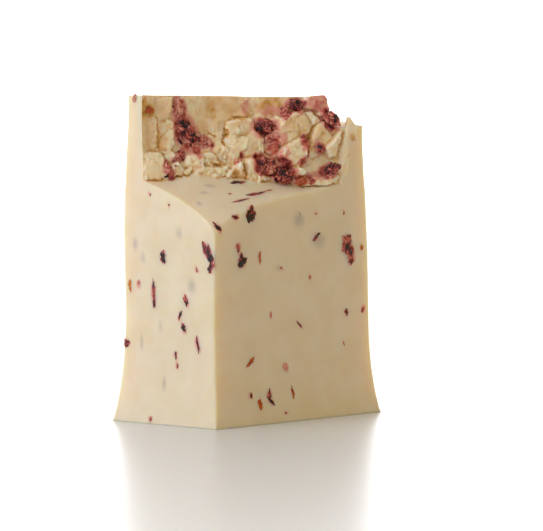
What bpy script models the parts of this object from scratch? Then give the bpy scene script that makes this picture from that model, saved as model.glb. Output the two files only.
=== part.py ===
"""A tall block of cheddar with dried cranberries, its top front corner cut under and broken away.

The block stands on +Z with its sides along X and Y and its origin in the middle of the base.
The removed corner faced -X -Y: a smooth shoulder is left where the knife went in, and above it
the rough face where the piece snapped off. Cranberries sit in sockets in that rough face, and
bits of fruit lie flush in the smooth faces. Lengths are in metres.
"""

import math
import random

import bmesh
import bpy
from mathutils import Matrix, Vector, noise

MM = 0.001

# The block. Each side leans in towards the top, spreads into a foot, and waves a little.
HEIGHT = 150.4 * MM
BASE_WIDTH = 116.0 * MM
BASE_DEPTH = 65.6 * MM
FOOT_SPREAD = 3.3 * MM
FOOT_RISE = 18.0 * MM
WAVE_LENGTH = 100.0 * MM
TOP_TILT = 0.010
EDGE_WIDTH = 0.7 * MM
# Each side: how far it leans in over the height, the height of its wave's crest, the wave's size.
LEAN = {
    "left": (1.0 * MM, 70.0 * MM, 0.4 * MM),
    "right": (5.0 * MM, 70.0 * MM, 0.4 * MM),
    "front": (1.2 * MM, 90.0 * MM, 0.4 * MM),
    "back": (0.8 * MM, 98.0 * MM, 1.0 * MM),
}

# The break. "along" runs across it from left to right, and "in" runs from the front corner
# to the back, both level. The reach is how far the break goes along each side of the block.
LEDGE_HEIGHT = 100.0 * MM
REACH_X = 106.0 * MM
REACH_Y = 56.0 * MM
# The shoulder under the break: its height at the front corner and at the foot of the rough face,
# for its left half and its right half, and how sharply it bends at the front.
LEDGE_LOW = (86.0 * MM, 90.0 * MM)
LEDGE_HIGH = (111.6 * MM, 108.8 * MM)
LEDGE_BEND = 0.56
LEDGE_HALVES = (-12.0 * MM, 24.0 * MM)
# The shoulder's back swells up towards the rough face between these places.
LEDGE_SWELL = 4.7 * MM
SWELL_RISE = (-14.0 * MM, 6.0 * MM)
SWELL_FALL = (16.0 * MM, 58.0 * MM)
WALL_FOOT_IN = 40.6 * MM
WALL_FOOT_HEIGHT = 111.0 * MM
WALL_LEFT_IN = 40.2 * MM
WALL_RIGHT_IN = 44.4 * MM
WALL_MIDDLE_IN = 51.0 * MM
WALL_LEFT = -21.2 * MM
WALL_RIGHT = 84.9 * MM
WALL_RISE = 20.0 * MM
# Uneven height of the rough face, and the size of that unevenness.
ROUGHNESS = 0.9 * MM
ROUGH_GRAIN = 5.0 * MM
CUT_MARGIN = 18.0 * MM
# The cutter's first row ends at the front corner, and the rows behind it are closest there.
FRONT_ROW = 0.1
ROW_CROWDING = 1.6
# The smooth band along the top of the rough face lies a little deeper, right of the left end.
TOP_RECESS = 2.5 * MM
TOP_BAND = (136.0 * MM, 142.0 * MM)
TOP_BAND_ALONG = (0.0, 20.0 * MM)
# On the right the rough face comes forward to the front side along a slanting rim.
RIM_LOW = 78.0 * MM
RIM_SPREAD = 13.5 * MM
RIM_TOP_HEIGHT = 135.0 * MM
RIM_SLOPE = 1.3
RIM_ROUNDING = 3.0 * MM
# Above the rim the top right corner is gone as far as the right side.
NOTCH_START = 72.0 * MM
NOTCH_SLANT = 0.2
NOTCH_HEIGHT = 138.0 * MM
NOTCH_DEPTH = 96.0 * MM
NOTCH_EDGE = 5.0 * MM

# Gap between a cranberry and its socket.
SOCKET_GAP = 0.35 * MM

CHEESE_COLOUR = (0.80, 0.66, 0.45, 1.0)
CRANBERRY_COLOUR = (0.13, 0.012, 0.015, 1.0)
AMBER_COLOUR = (0.38, 0.07, 0.012, 1.0)

# Blunt pieces of curd that stand out of the rough face, in millimetres: how far out, how much
# further out for each millimetre to the right and upwards, and the outline as (along, height).
CURDS = {
    "top_left": (1.5, 0.04, -0.04, ((-15, 145.5), (-14, 149.5), (-11, 150), (-4.5, 150), (-4, 146.5),
                 (-5, 142.5), (-7.5, 139.5), (-11.5, 139), (-14, 141.5))),
    "left_column": (0.7, 0.03, 0.0, ((-21, 142.5), (-14, 141.5), (-12.5, 139), (-12.5, 133.5),
                    (-13, 127.5), (-14.5, 125), (-21, 124.5))),
    "left": (1.7, 0.05, -0.14, ((-12, 138.5), (-8.5, 139.5), (-4.5, 139), (-3.5, 136), (-4, 127.5),
             (-7.5, 125.5), (-11.5, 125.5), (-12.5, 130))),
    "low_left": (2.4, 0.05, -0.10, ((-21, 124.5), (-12, 124.5), (-10.5, 121.5), (-10, 117),
                 (-8.5, 112.5), (-15, 111), (-21, 111))),
    "low_left_top": (1.8, 0.08, -0.10, ((-11, 124.5), (-6, 125.5), (-4, 123.5), (-6, 120), (-9, 120.5))),
    "square": (3.2, -0.04, -0.06, ((-7, 119), (-3.5, 120.5), (-2, 118.5), (-1, 116), (-3.5, 113.5),
               (-7, 113), (-8, 116.5))),
    "under_tear": (2.6, 0.06, -0.16, ((0, 123), (3, 124.5), (6.5, 124), (9, 123.5), (9.5, 120),
                   (7.5, 117), (3, 116), (0, 117))),
    "crumbly": (1.8, 0.0, -0.10, ((9, 123), (13, 124.5), (16, 123), (16, 119.5), (13, 117.5), (9.5, 118))),
    "base_left": (2.6, 0.0, -0.20, ((2.5, 116), (7.5, 117.5), (13.5, 117), (18.5, 117), (20, 114.5),
                  (18, 111.5), (9.5, 111.5), (3, 112))),
    "low_wall": (1.0, 0.04, -0.06, ((12.5, 131.5), (18.5, 133.5), (21, 132), (20, 127), (17.5, 124),
                 (13.5, 124.5), (12, 128))),
    "top_plate": (2.8, 0.05, 0.03, ((22.5, 138), (25.5, 139), (29.5, 140), (35, 140.5), (36.5, 137.5),
                  (37, 134), (34.5, 133.5), (32, 131), (27.5, 129.5), (23, 131))),
    "long_slope": (2.2, 0.22, -0.02, ((23, 131.5), (28, 129.5), (33, 131.5), (31.5, 127), (28.5, 123.5),
                   (25, 119), (21.5, 116), (18, 117.5), (17, 121.5), (18.5, 125), (20, 128))),
    "middle": (4.0, -0.03, -0.08, ((32, 131.5), (34.5, 134), (38, 133.5), (41, 131), (40, 128),
               (40.5, 124.5), (40, 122), (36, 121), (32, 121.5), (28.5, 123), (30.5, 127))),
    "foot_plate": (2.4, 0.12, -0.04, ((22.5, 117), (26.5, 121), (28, 119), (26.5, 116), (28.5, 112),
                   (24.5, 111), (21.5, 111.5))),
    "foot": (3.2, -0.05, -0.10, ((30.5, 121.5), (34.5, 121.5), (36, 118.5), (35.5, 115.5), (38, 113),
             (36.5, 110.5), (32.5, 110), (30, 111), (29.5, 117))),
    "pebble": (2.2, 0.0, -0.10, ((45.5, 140), (48.5, 141), (50, 139.5), (49, 137), (47.5, 135), (45.5, 136))),
    "torn": (2.8, 0.0, -0.10, ((41, 128.5), (44.5, 130), (47, 129), (49, 125), (47, 122), (43.5, 123),
             (41, 124.5))),
    "boulder": (5.0, -0.05, -0.12, ((44.5, 131), (46, 134), (49, 140), (51.5, 141.5), (58.5, 143.5),
                (61, 143.5), (63, 140), (65, 136), (63.5, 133), (60, 132), (53.5, 130), (48.5, 127.5))),
    "boulder_side": (3.4, -0.10, -0.06, ((62, 143), (65.5, 143.5), (69, 139), (66.5, 138), (65.5, 136.5),
                     (64, 139))),
    "low_boulder": (5.6, -0.02, -0.14, ((48.5, 126), (52, 129.5), (61, 132), (63, 129.5), (62.5, 125.5),
                    (60, 120.5), (56.5, 117), (52.5, 116.5), (50, 118), (47, 122.5))),
    "right": (3.4, -0.10, 0.02, ((66, 135), (67.5, 137.5), (70, 139), (71.5, 133.5), (74.5, 132.5),
              (76, 131.5), (72.5, 129), (71, 125), (71.5, 122), (67.5, 121.5), (63, 120.5), (62.5, 123.5),
              (64, 127.5), (64, 131.5))),
    "leaf": (4.4, -0.16, 0.0, ((70.5, 125.5), (73, 129.5), (76, 132), (79.5, 134), (78, 129.5),
             (76.5, 125), (76, 122), (72.5, 121.5))),
    "dome": (5.0, 0.0, -0.10, ((52, 113.5), (53, 116), (55.5, 117), (58, 117), (60, 115), (58.5, 113),
             (54.5, 112))),
    "rim": (1.6, 0.0, 0.0, ((77.5, 119), (78, 125), (79.5, 129.5), (82, 134), (85, 137.5), (87.5, 135),
            (88, 132), (85.5, 128), (83.5, 123), (80.5, 117.5), (78.5, 116))),
    "rim_tip": (0.6, 0.0, 0.0, ((80.5, 134.5), (81.6, 137.4), (82.9, 141), (83.5, 140.6), (85, 138),
                (87.6, 135.6), (87, 130), (81.5, 130))),
    "top": (3.6, -0.03, -0.04, ((61, 145), (60.5, 148), (61.5, 150), (64.5, 150.7), (72, 151.3),
            (73, 149), (73, 146.5), (74.5, 144.5), (74, 142.5), (70, 143.5), (65, 144))),
    "lip": (4.6, 0.0, -0.30, ((51.5, 109.5), (59, 110.5), (68, 111), (71.5, 113), (76, 114.5),
            (77, 112.5), (70, 109), (59, 107.5), (53, 107.5))),
}
# A curd reaches this far behind the face, where it is a little smaller. It is widest part of the
# way out, and its front is smaller and uneven. Its outline is ragged by a little.
CURD_ROOT = 4.0
CURD_TAPER = 0.92
CURD_WAIST = 0.55
CURD_FRONT = 0.80
CURD_UNEVEN = 0.45
CURD_RAGGED = 0.2
CRUMB_COUNT = 26
CRUMB_SIZE = (1.1 * MM, 2.2 * MM)

# Cranberries in the rough face, in millimetres:
# name, along, height, out of the face, half width, half height, half depth, turn, rounds of
# subdivision, colour.
CRANBERRIES = (
    ("cranberry_left", 2.8, 134.0, 0.8, 4.2, 7.0, 3.0, -20, 3, CRANBERRY_COLOUR),
    ("cranberry_left_tail", 11.4, 129.2, 1.8, 5.6, 2.1, 1.9, 24, 2, CRANBERRY_COLOUR),
    ("cranberry_left_strand", -1.2, 145.6, 1.0, 1.8, 4.4, 1.6, -20, 2, CRANBERRY_COLOUR),
    ("cranberry_left_spur", -2.4, 122.8, 2.4, 1.7, 4.4, 1.6, 40, 2, CRANBERRY_COLOUR),
    ("cranberry_foot", -8.8, 116.2, 3.2, 1.5, 4.4, 1.6, -18, 2, CRANBERRY_COLOUR),
    ("cranberry_middle", 42.2, 136.2, 1.8, 5.0, 3.8, 3.2, 0, 3, CRANBERRY_COLOUR),
    ("cranberry_middle_low", 43.8, 131.0, 3.2, 3.6, 1.8, 1.8, -30, 2, CRANBERRY_COLOUR),
    ("cranberry_cluster", 40.6, 118.2, 3.4, 5.0, 4.2, 3.2, 24, 3, CRANBERRY_COLOUR),
    ("cranberry_cluster_low", 47.2, 113.2, 3.8, 4.4, 3.6, 3.0, 30, 3, CRANBERRY_COLOUR),
    ("cranberry_top", 58.2, 146.6, 1.6, 3.6, 3.0, 2.8, 0, 3, CRANBERRY_COLOUR),
    ("cranberry_top_flake", 53.2, 143.6, 0.8, 1.5, 3.0, 1.4, 30, 2, CRANBERRY_COLOUR),
    ("cranberry_peak", 74.8, 139.6, 4.0, 5.2, 3.0, 3.0, 36, 3, CRANBERRY_COLOUR),
    ("cranberry_right", 71.8, 116.0, 4.0, 4.8, 2.8, 2.6, -28, 3, CRANBERRY_COLOUR),
    ("cranberry_flat", 68.0, 125.8, 3.6, 1.5, 3.0, 1.3, -20, 2, CRANBERRY_COLOUR),
    ("cranberry_corner", -23.4, 149.4, -4.5, 1.3, 2.2, 1.3, 10, 2, CRANBERRY_COLOUR),
    ("amber_berry_low", 55.6, 110.6, 5.4, 3.0, 1.9, 2.0, -24, 2, AMBER_COLOUR),
    ("amber_berry_left", -17.0, 143.8, 0.6, 2.4, 1.8, 1.5, 8, 2, AMBER_COLOUR),
)

# Bits of fruit cut through by the knife, in millimetres.
# On the left side: distance from the front edge, height, half width, half height, turn.
LEFT_BITS = (
    (31.9, 76.8, 1.7, 3.0, 0),
    (3.6, 79.6, 1.6, 4.6, 30),
    (53.0, 63.2, 1.0, 2.4, 0),
    (37.7, 59.6, 1.2, 6.4, 4),
    (17.4, 57.7, 1.6, 3.4, 25),
    (18.7, 44.9, 1.3, 2.4, 20),
    (23.7, 32.3, 0.9, 2.4, 0),
    (9.9, 37.5, 0.9, 4.0, 12),
    (45.4, 37.2, 0.9, 3.6, 10),
)
# On the front side: distance from the front edge, height, half width, half height, turn.
FRONT_BITS = (
    (24.0, 96.2, 2.4, 3.0, -10),
    (17.9, 74.9, 2.4, 3.2, 25),
    (30.1, 76.3, 1.0, 3.4, 0),
    (15.3, 81.4, 1.2, 2.0, 0),
    (69.1, 84.7, 1.0, 2.4, 45),
    (92.7, 77.8, 3.6, 7.8, -18),
    (64.8, 66.2, 1.2, 1.2, 0),
    (38.0, 48.0, 1.2, 4.4, 15),
    (72.0, 40.0, 2.6, 3.0, -30),
    (52.0, 24.0, 1.4, 3.6, 60),
)
BIT_PROUD = 0.35 * MM


def inset(side, z):
    """How far a side has drawn in at height z, from where it is at the base."""
    lean, crest, wave = LEAN[side]
    foot = FOOT_SPREAD * (1 - math.exp(-z / FOOT_RISE))
    swing = math.cos(math.tau * (z - crest) / WAVE_LENGTH) - math.cos(math.tau * crest / WAVE_LENGTH)
    return lean * z / HEIGHT + foot - wave * swing


def left(z):
    return -BASE_WIDTH / 2 + inset("left", z)


def right(z):
    return BASE_WIDTH / 2 - inset("right", z)


def front(z):
    return -BASE_DEPTH / 2 + inset("front", z)


def back(z):
    return BASE_DEPTH / 2 - inset("back", z)


DIAGONAL = math.hypot(REACH_X, REACH_Y)
CORNER = Vector((left(LEDGE_HEIGHT), front(LEDGE_HEIGHT), 0))
ALONG = Vector((REACH_X, -REACH_Y, 0)) / DIAGONAL
INWARD = Vector((REACH_Y, REACH_X, 0)) / DIAGONAL


def smooth_step(value, low, high):
    share = min(max((value - low) / (high - low), 0.0), 1.0)
    return share * share * (3 - 2 * share)


def ledge_height(along, inward):
    """The shoulder climbs steeply from the front corner and levels out towards the rough face."""
    share = smooth_step(along, *LEDGE_HALVES)
    low = LEDGE_LOW[0] + (LEDGE_LOW[1] - LEDGE_LOW[0]) * share
    high = LEDGE_HIGH[0] + (LEDGE_HIGH[1] - LEDGE_HIGH[0]) * share
    swell = LEDGE_SWELL * smooth_step(along, *SWELL_RISE) * (1 - smooth_step(along, *SWELL_FALL))
    way_in = max(inward, 0.0) / WALL_FOOT_IN
    return low + (high - low) * way_in ** LEDGE_BEND + swell * min(way_in, 1.0) ** 2


def smooth_least(first, second, blend):
    """The lesser of two lengths, rounded off where they are close."""
    share = min(max(0.5 + 0.5 * (second - first) / blend, 0.0), 1.0)
    return second + (first - second) * share - blend * share * (1 - share)


def whole_wall_inward(along, z):
    """How far behind the front corner the rough face lies, without its curds and its notch."""
    across = min(max((along - WALL_LEFT) / (WALL_RIGHT - WALL_LEFT), 0.0), 1.0)
    bow = math.sin(math.pi * across) ** 0.5
    end = WALL_LEFT_IN + (WALL_RIGHT_IN - WALL_LEFT_IN) * across
    upper = end + (WALL_MIDDLE_IN - end) * bow
    foot = WALL_FOOT_IN + (end - WALL_FOOT_IN) * (1 - bow)
    rise = smooth_step(z, WALL_FOOT_HEIGHT - 2 * MM, WALL_FOOT_HEIGHT + WALL_RISE)
    recess = TOP_RECESS * smooth_step(z, *TOP_BAND) * smooth_step(along, *TOP_BAND_ALONG)
    uneven = ROUGHNESS * noise.noise(Vector((along, 0, z)) / ROUGH_GRAIN)
    inward = foot + (upper - foot) * rise + (recess + uneven) * bow

    ragged = 2 * ROUGHNESS * noise.noise(Vector((0, 7, z / ROUGH_GRAIN)))
    rim = RIM_LOW + RIM_SPREAD * smooth_step(z, WALL_FOOT_HEIGHT, RIM_TOP_HEIGHT) + ragged
    closing = rim * REACH_Y / REACH_X + RIM_SLOPE * (rim - along)
    return smooth_least(inward, closing, RIM_ROUNDING)


def wall_inward(along, z):
    """The same with the notch, above which the top right corner is gone."""
    inward = whole_wall_inward(along, z)
    start = NOTCH_START + NOTCH_SLANT * (HEIGHT - z)
    ragged = 2 * ROUGHNESS * noise.noise(Vector((along / ROUGH_GRAIN, 3, 0)))
    above = smooth_step(z, NOTCH_HEIGHT + ragged - NOTCH_EDGE / 2, NOTCH_HEIGHT + ragged + NOTCH_EDGE / 2)
    notch = above * smooth_step(along, start, start + NOTCH_EDGE)
    return inward + (NOTCH_DEPTH - inward) * notch


def break_point(along, inward, z):
    return CORNER + ALONG * along + INWARD * inward + Vector((0, 0, z))


def grid_box(segments):
    """A cube from -1 to 1 whose faces are cut into a grid, with so many segments on each axis."""
    mesh = bmesh.new()
    bmesh.ops.create_cube(mesh, size=2)
    for axis, count in enumerate(segments):
        edges = [
            edge
            for edge in mesh.edges
            if abs(edge.verts[0].co[axis] - edge.verts[1].co[axis]) > 1
        ]
        bmesh.ops.subdivide_edges(mesh, edges=edges, cuts=count - 1, use_grid_fill=True)
    return mesh


def make_object(name, mesh, collection):
    data = bpy.data.meshes.new(name)
    mesh.to_mesh(data)
    mesh.free()
    made = bpy.data.objects.new(name, data)
    collection.objects.link(made)
    return made


def make_block(collection):
    """The whole block before its corner was broken off."""
    mesh = grid_box((8, 5, 16))
    for vertex in mesh.verts:
        u, v, w = vertex.co
        z = HEIGHT * ((w + 1) / 2) ** 1.4
        x = left(z) + (right(z) - left(z)) * (u + 1) / 2
        y = front(z) + (back(z) - front(z)) * (v + 1) / 2
        vertex.co = (x, y, z - TOP_TILT * x * (z / HEIGHT) ** 8)
    block = make_object("cheese", mesh, collection)
    rounding = block.modifiers.new("rounded edges", "BEVEL")
    rounding.width = EDGE_WIDTH
    rounding.segments = 1
    rounding.limit_method = "ANGLE"
    rounding.angle_limit = math.radians(60)
    return block


def make_break_cutter(collection):
    """The space of the missing corner: the shoulder below it and the rough face behind it."""
    mesh = grid_box((44, 10, 18))
    low, high = WALL_LEFT - CUT_MARGIN, WALL_RIGHT + CUT_MARGIN
    top = HEIGHT + CUT_MARGIN
    for vertex in mesh.verts:
        p, q, r = ((value + 1) / 2 for value in vertex.co)
        along = low + (high - low) * p
        level = WALL_FOOT_HEIGHT + (top - WALL_FOOT_HEIGHT) * r
        if q < FRONT_ROW:
            inward = CUT_MARGIN * (q / FRONT_ROW - 1)
        else:
            inward = wall_inward(along, level) * ((q - FRONT_ROW) / (1 - FRONT_ROW)) ** ROW_CROWDING
        floor = ledge_height(along, inward)
        vertex.co = break_point(along, inward, floor + (top - floor) * r)
    return make_object("break_cutter", mesh, collection)


def hull_lump(name, radii, seed, collection):
    """A blunt many-sided lump, as curd breaks: the hull of an icosphere's jittered points."""
    draw = random.Random(seed)
    mesh = bmesh.new()
    bmesh.ops.create_icosphere(mesh, subdivisions=2, radius=1)
    for vertex in mesh.verts:
        blunt = [math.copysign(abs(value) ** 0.8, value) for value in vertex.co]
        vertex.co = Vector(blunt) * draw.uniform(0.78, 1.06)
    bmesh.ops.delete(mesh, geom=list(mesh.edges), context="EDGES_FACES")
    bmesh.ops.convex_hull(mesh, input=list(mesh.verts))
    inner = [vertex for vertex in mesh.verts if not vertex.link_faces]
    bmesh.ops.delete(mesh, geom=inner, context="VERTS")
    bmesh.ops.recalc_face_normals(mesh, faces=list(mesh.faces))
    bmesh.ops.scale(mesh, vec=Vector(radii), verts=list(mesh.verts))
    return make_object(name, mesh, collection)


def wall_placing(along, z, out, turn):
    """Local X along the face, local Y into it, local Z up, turned in the face's plane."""
    basis = Matrix((ALONG, INWARD, Vector((0, 0, 1)))).transposed().to_4x4()
    place = Matrix.Translation(break_point(along, wall_inward(along, z) - out, z))
    return place @ basis @ Matrix.Rotation(math.radians(turn), 4, "Y")


def make_curd(name, out, lean_along, lean_up, outline, seed, collection):
    """A blunt piece of curd: the hull of its outline behind the face, at its waist and in front."""
    draw = random.Random(seed)
    middle = sum((Vector(point) for point in outline), Vector((0, 0))) / len(outline)
    face = whole_wall_inward(middle.x * MM, middle.y * MM)
    mesh = bmesh.new()
    for point in outline:
        ragged = Vector((draw.uniform(-CURD_RAGGED, CURD_RAGGED), draw.uniform(-CURD_RAGGED, CURD_RAGGED)))
        offset = Vector(point) - middle + ragged
        rings = (
            (CURD_TAPER, -CURD_ROOT - draw.uniform(0, CURD_UNEVEN)),
            (1.0, CURD_WAIST * out),
            (CURD_FRONT, out + draw.uniform(-CURD_UNEVEN, CURD_UNEVEN)),
        )
        for scale, level in rings:
            along, height = middle + offset * scale
            if level > 0:
                level += lean_along * offset.x + lean_up * offset.y
            mesh.verts.new(break_point(along * MM, face - level * MM, height * MM))
    bmesh.ops.convex_hull(mesh, input=list(mesh.verts))
    inner = [vertex for vertex in mesh.verts if not vertex.link_faces]
    bmesh.ops.delete(mesh, geom=inner, context="VERTS")
    bmesh.ops.recalc_face_normals(mesh, faces=list(mesh.faces))
    return make_object(name, mesh, collection)


def make_curds(collection):
    for index, (name, curd) in enumerate(CURDS.items()):
        make_curd(f"curd_{name}", *curd, 100 + index, collection)


def make_crumbs(collection):
    """Small crumbs along the foot of the rough face."""
    draw = random.Random(7)
    for index in range(CRUMB_COUNT):
        size = draw.uniform(*CRUMB_SIZE)
        along = WALL_LEFT + 6 * MM + (WALL_RIGHT - WALL_LEFT - 14 * MM) * (index + 0.5) / CRUMB_COUNT
        z = ledge_height(along, WALL_FOOT_IN) + draw.uniform(0.5 * MM, 4.0 * MM)
        radii = (size * draw.uniform(0.9, 1.5), size, size * draw.uniform(0.7, 1.0))
        crumb = hull_lump(f"crumb_{index:02d}", radii, 300 + index, collection)
        crumb.matrix_world = wall_placing(along, z, size * 0.5, draw.uniform(-60, 60))


def make_bits(collection):
    """Low relief where the knife cut through fruit in the smooth sides."""
    sides = (
        ("left", LEFT_BITS, Matrix(((0, 0, -1), (1, 0, 0), (0, 1, 0)))),
        ("front", FRONT_BITS, Matrix(((1, 0, 0), (0, 0, -1), (0, 1, 0)))),
    )
    for side, bits, basis in sides:
        for index, (away, height, wide, tall, turn) in enumerate(bits):
            z = height * MM
            radii = (wide * MM, tall * MM, 2 * BIT_PROUD)
            bit = hull_lump(f"bit_{side}_{index:02d}", radii, 500 + index, collection)
            if side == "left":
                place = Vector((left(z) + BIT_PROUD, CORNER.y + away * MM, z))
            else:
                place = Vector((CORNER.x + away * MM, front(z) + BIT_PROUD, z))
            bit.matrix_world = (
                Matrix.Translation(place)
                @ basis.to_4x4()
                @ Matrix.Rotation(math.radians(turn), 4, "Z")
            )


def make_cranberry(name, place, radii, rounds, seed, collection, grown=0.0):
    """A wrinkled dried berry. Grown, it is the cutter for its own socket."""
    mesh = bmesh.new()
    bmesh.ops.create_icosphere(mesh, subdivisions=rounds, radius=1)
    for vertex in mesh.verts:
        way = vertex.co.normalized()
        shift = Vector((seed * 3.1, 0, 0))
        fold = 0.26 * noise.noise(way * 1.3 + shift)
        wrinkle = 0.14 * abs(noise.noise(way * 3.4 + shift))
        vertex.co = way * (0.92 + fold - wrinkle)
    bmesh.ops.scale(mesh, vec=Vector(radii), verts=list(mesh.verts))
    mesh.normal_update()
    if grown:
        moves = [(vertex, vertex.normal * grown) for vertex in mesh.verts]
        for vertex, move in moves:
            vertex.co += move
    berry = make_object(name, mesh, collection)
    berry.matrix_world = place
    return berry


def material(name, colour, roughness):
    made = bpy.data.materials.new(name)
    made.use_nodes = True
    shader = made.node_tree.nodes["Principled BSDF"]
    shader.inputs["Base Color"].default_value = colour
    shader.inputs["Roughness"].default_value = roughness
    shader.inputs["Metallic"].default_value = 0.0
    made.diffuse_color = colour
    return made


def boolean(target, operation, tools, solver="EXACT"):
    """Applies one Boolean of target with a collection, and then removes the collection's objects."""
    cut = target.modifiers.new(operation.lower(), "BOOLEAN")
    cut.operation = operation
    cut.operand_type = "COLLECTION"
    cut.collection = tools
    cut.solver = solver
    bpy.context.view_layer.update()
    graph = bpy.context.evaluated_depsgraph_get()
    result = bpy.data.meshes.new_from_object(target.evaluated_get(graph))
    target.modifiers.clear()
    target.data = result
    for tool in list(tools.objects):
        bpy.data.objects.remove(tool)


def keep_largest_body(target):
    """Drops loose scraps and sealed hollows, which the Booleans leave as bodies of their own."""
    mesh = bmesh.new()
    mesh.from_mesh(target.data)
    unseen = set(mesh.verts)
    bodies = []
    while unseen:
        body = set()
        edge_of_body = [unseen.pop()]
        while edge_of_body:
            vertex = edge_of_body.pop()
            body.add(vertex)
            linked = {edge.other_vert(vertex) for edge in vertex.link_edges} & unseen
            unseen -= linked
            edge_of_body.extend(linked)
        bodies.append(body)
    largest = max(bodies, key=len)
    scraps = [vertex for vertex in mesh.verts if vertex not in largest]
    bmesh.ops.delete(mesh, geom=scraps, context="VERTS")
    mesh.to_mesh(target.data)
    mesh.free()


def make_model():
    for existing in list(bpy.data.objects):
        bpy.data.objects.remove(existing)
    model = bpy.data.collections.new("cheddar_block")
    tools = bpy.data.collections.new("tools")
    bpy.context.scene.collection.children.link(model)
    bpy.context.scene.collection.children.link(tools)

    cheese = make_block(model)
    make_break_cutter(tools)
    boolean(cheese, "DIFFERENCE", tools)
    make_curds(tools)
    make_crumbs(tools)
    make_bits(tools)
    boolean(cheese, "UNION", tools)

    finishes = {
        CRANBERRY_COLOUR: material("cranberry", CRANBERRY_COLOUR, 0.3),
        AMBER_COLOUR: material("amber_berry", AMBER_COLOUR, 0.3),
    }
    for index, (name, along, z, out, wide, tall, deep, turn, rounds, colour) in enumerate(CRANBERRIES):
        place = wall_placing(along * MM, z * MM, out * MM, turn)
        radii = (wide * MM, deep * MM, tall * MM)
        berry = make_cranberry(name, place, radii, rounds, index, model)
        berry.data.materials.append(finishes[colour])
        berry.data.shade_smooth()
        make_cranberry(f"socket_{index:02d}", place, radii, rounds, index, tools, SOCKET_GAP)
    boolean(cheese, "DIFFERENCE", tools)
    keep_largest_body(cheese)
    cheese.data.materials.clear()
    cheese.data.materials.append(material("cheese", CHEESE_COLOUR, 0.5))


make_model()
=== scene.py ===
"""Looks of the cheddar block: fine broken face, wrinkled cranberries, cut fruit, light and camera."""

import math
import random

import bmesh
import bpy
import numpy as np
from mathutils import Matrix, Vector, noise
from mathutils.bvhtree import BVHTree


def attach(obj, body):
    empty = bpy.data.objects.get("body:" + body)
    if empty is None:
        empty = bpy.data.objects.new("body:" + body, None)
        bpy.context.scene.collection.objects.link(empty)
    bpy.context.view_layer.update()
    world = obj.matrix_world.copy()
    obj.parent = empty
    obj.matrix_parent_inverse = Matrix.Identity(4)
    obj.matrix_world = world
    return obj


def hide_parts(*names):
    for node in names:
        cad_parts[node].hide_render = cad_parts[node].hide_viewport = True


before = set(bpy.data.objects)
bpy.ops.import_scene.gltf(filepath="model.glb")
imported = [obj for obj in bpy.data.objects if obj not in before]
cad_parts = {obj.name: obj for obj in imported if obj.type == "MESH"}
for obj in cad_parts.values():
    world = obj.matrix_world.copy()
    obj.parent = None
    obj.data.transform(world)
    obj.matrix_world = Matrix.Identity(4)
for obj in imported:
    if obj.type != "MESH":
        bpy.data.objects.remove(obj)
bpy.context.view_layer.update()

MM = 0.001
# Blender's vector noise takes its offsets from the clock unless its seed is set.
NOISE_SEED = 1
noise.seed_set(NOISE_SEED)

# The block, as in the solids: each side leans in, spreads into a foot, and waves a little.
HEIGHT = 150.4 * MM
BASE_WIDTH = 116.0 * MM
BASE_DEPTH = 65.6 * MM
FOOT_SPREAD = 3.3 * MM
FOOT_RISE = 18.0 * MM
WAVE_LENGTH = 100.0 * MM
TOP_TILT = 0.010
LEAN = {
    "left": (1.0 * MM, 70.0 * MM, 0.4 * MM),
    "right": (5.0 * MM, 70.0 * MM, 0.4 * MM),
    "front": (1.2 * MM, 90.0 * MM, 0.4 * MM),
    "back": (0.8 * MM, 98.0 * MM, 1.0 * MM),
}

# The break: "along" runs across it from left to right, "in" from the front corner to the back.
LEDGE_HEIGHT = 100.0 * MM
REACH_X = 106.0 * MM
REACH_Y = 56.0 * MM
LEDGE_LOW = (86.0 * MM, 90.0 * MM)
LEDGE_HIGH = (111.6 * MM, 108.8 * MM)
LEDGE_BEND = 0.56
LEDGE_HALVES = (-12.0 * MM, 24.0 * MM)
LEDGE_SWELL = 4.7 * MM
SWELL_RISE = (-14.0 * MM, 6.0 * MM)
SWELL_FALL = (16.0 * MM, 58.0 * MM)
WALL_FOOT_IN = 40.6 * MM
WALL_FOOT_HEIGHT = 111.0 * MM
WALL_LEFT_IN = 40.2 * MM
WALL_RIGHT_IN = 44.4 * MM
WALL_MIDDLE_IN = 51.0 * MM
WALL_LEFT = -21.2 * MM
WALL_RIGHT = 84.9 * MM
WALL_RISE = 20.0 * MM
ROUGHNESS = 0.9 * MM
ROUGH_GRAIN = 5.0 * MM
CUT_MARGIN = 18.0 * MM
FRONT_ROW = 0.1
ROW_CROWDING = 1.6
TOP_RECESS = 2.5 * MM
TOP_BAND = (136.0 * MM, 142.0 * MM)
TOP_BAND_ALONG = (0.0, 20.0 * MM)
RIM_LOW = 78.0 * MM
RIM_SPREAD = 13.5 * MM
RIM_TOP_HEIGHT = 135.0 * MM
RIM_SLOPE = 1.3
RIM_ROUNDING = 3.0 * MM
NOTCH_START = 72.0 * MM
NOTCH_SLANT = 0.2
NOTCH_HEIGHT = 138.0 * MM
NOTCH_DEPTH = 96.0 * MM
NOTCH_EDGE = 5.0 * MM

# How finely the pieces are made. The break's grid is fine inside the block and coarse outside it.
SIDE_GRID = (70, 40, 92)
BREAK_GRID = (290, 48, 112)
EDGE_CROWDING = 0.55
GRID_MARGIN = 1.5 * MM
GRID_MARGIN_SHARE = (0.02, 0.98)
GRID_TOP_SHARE = 0.95
# The grid that the relief of the rough face is read from: its lowest and highest place as along and
# height, its step, and how far and how much it closes the gaps between curds.
RELIEF_LOW = (-26.0 * MM, 98.0 * MM)
RELIEF_HIGH = (96.0 * MM, 154.0 * MM)
RELIEF_STEP = 0.3 * MM
GAP_STEPS = 2
GAP_FILLING = 0.7
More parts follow.
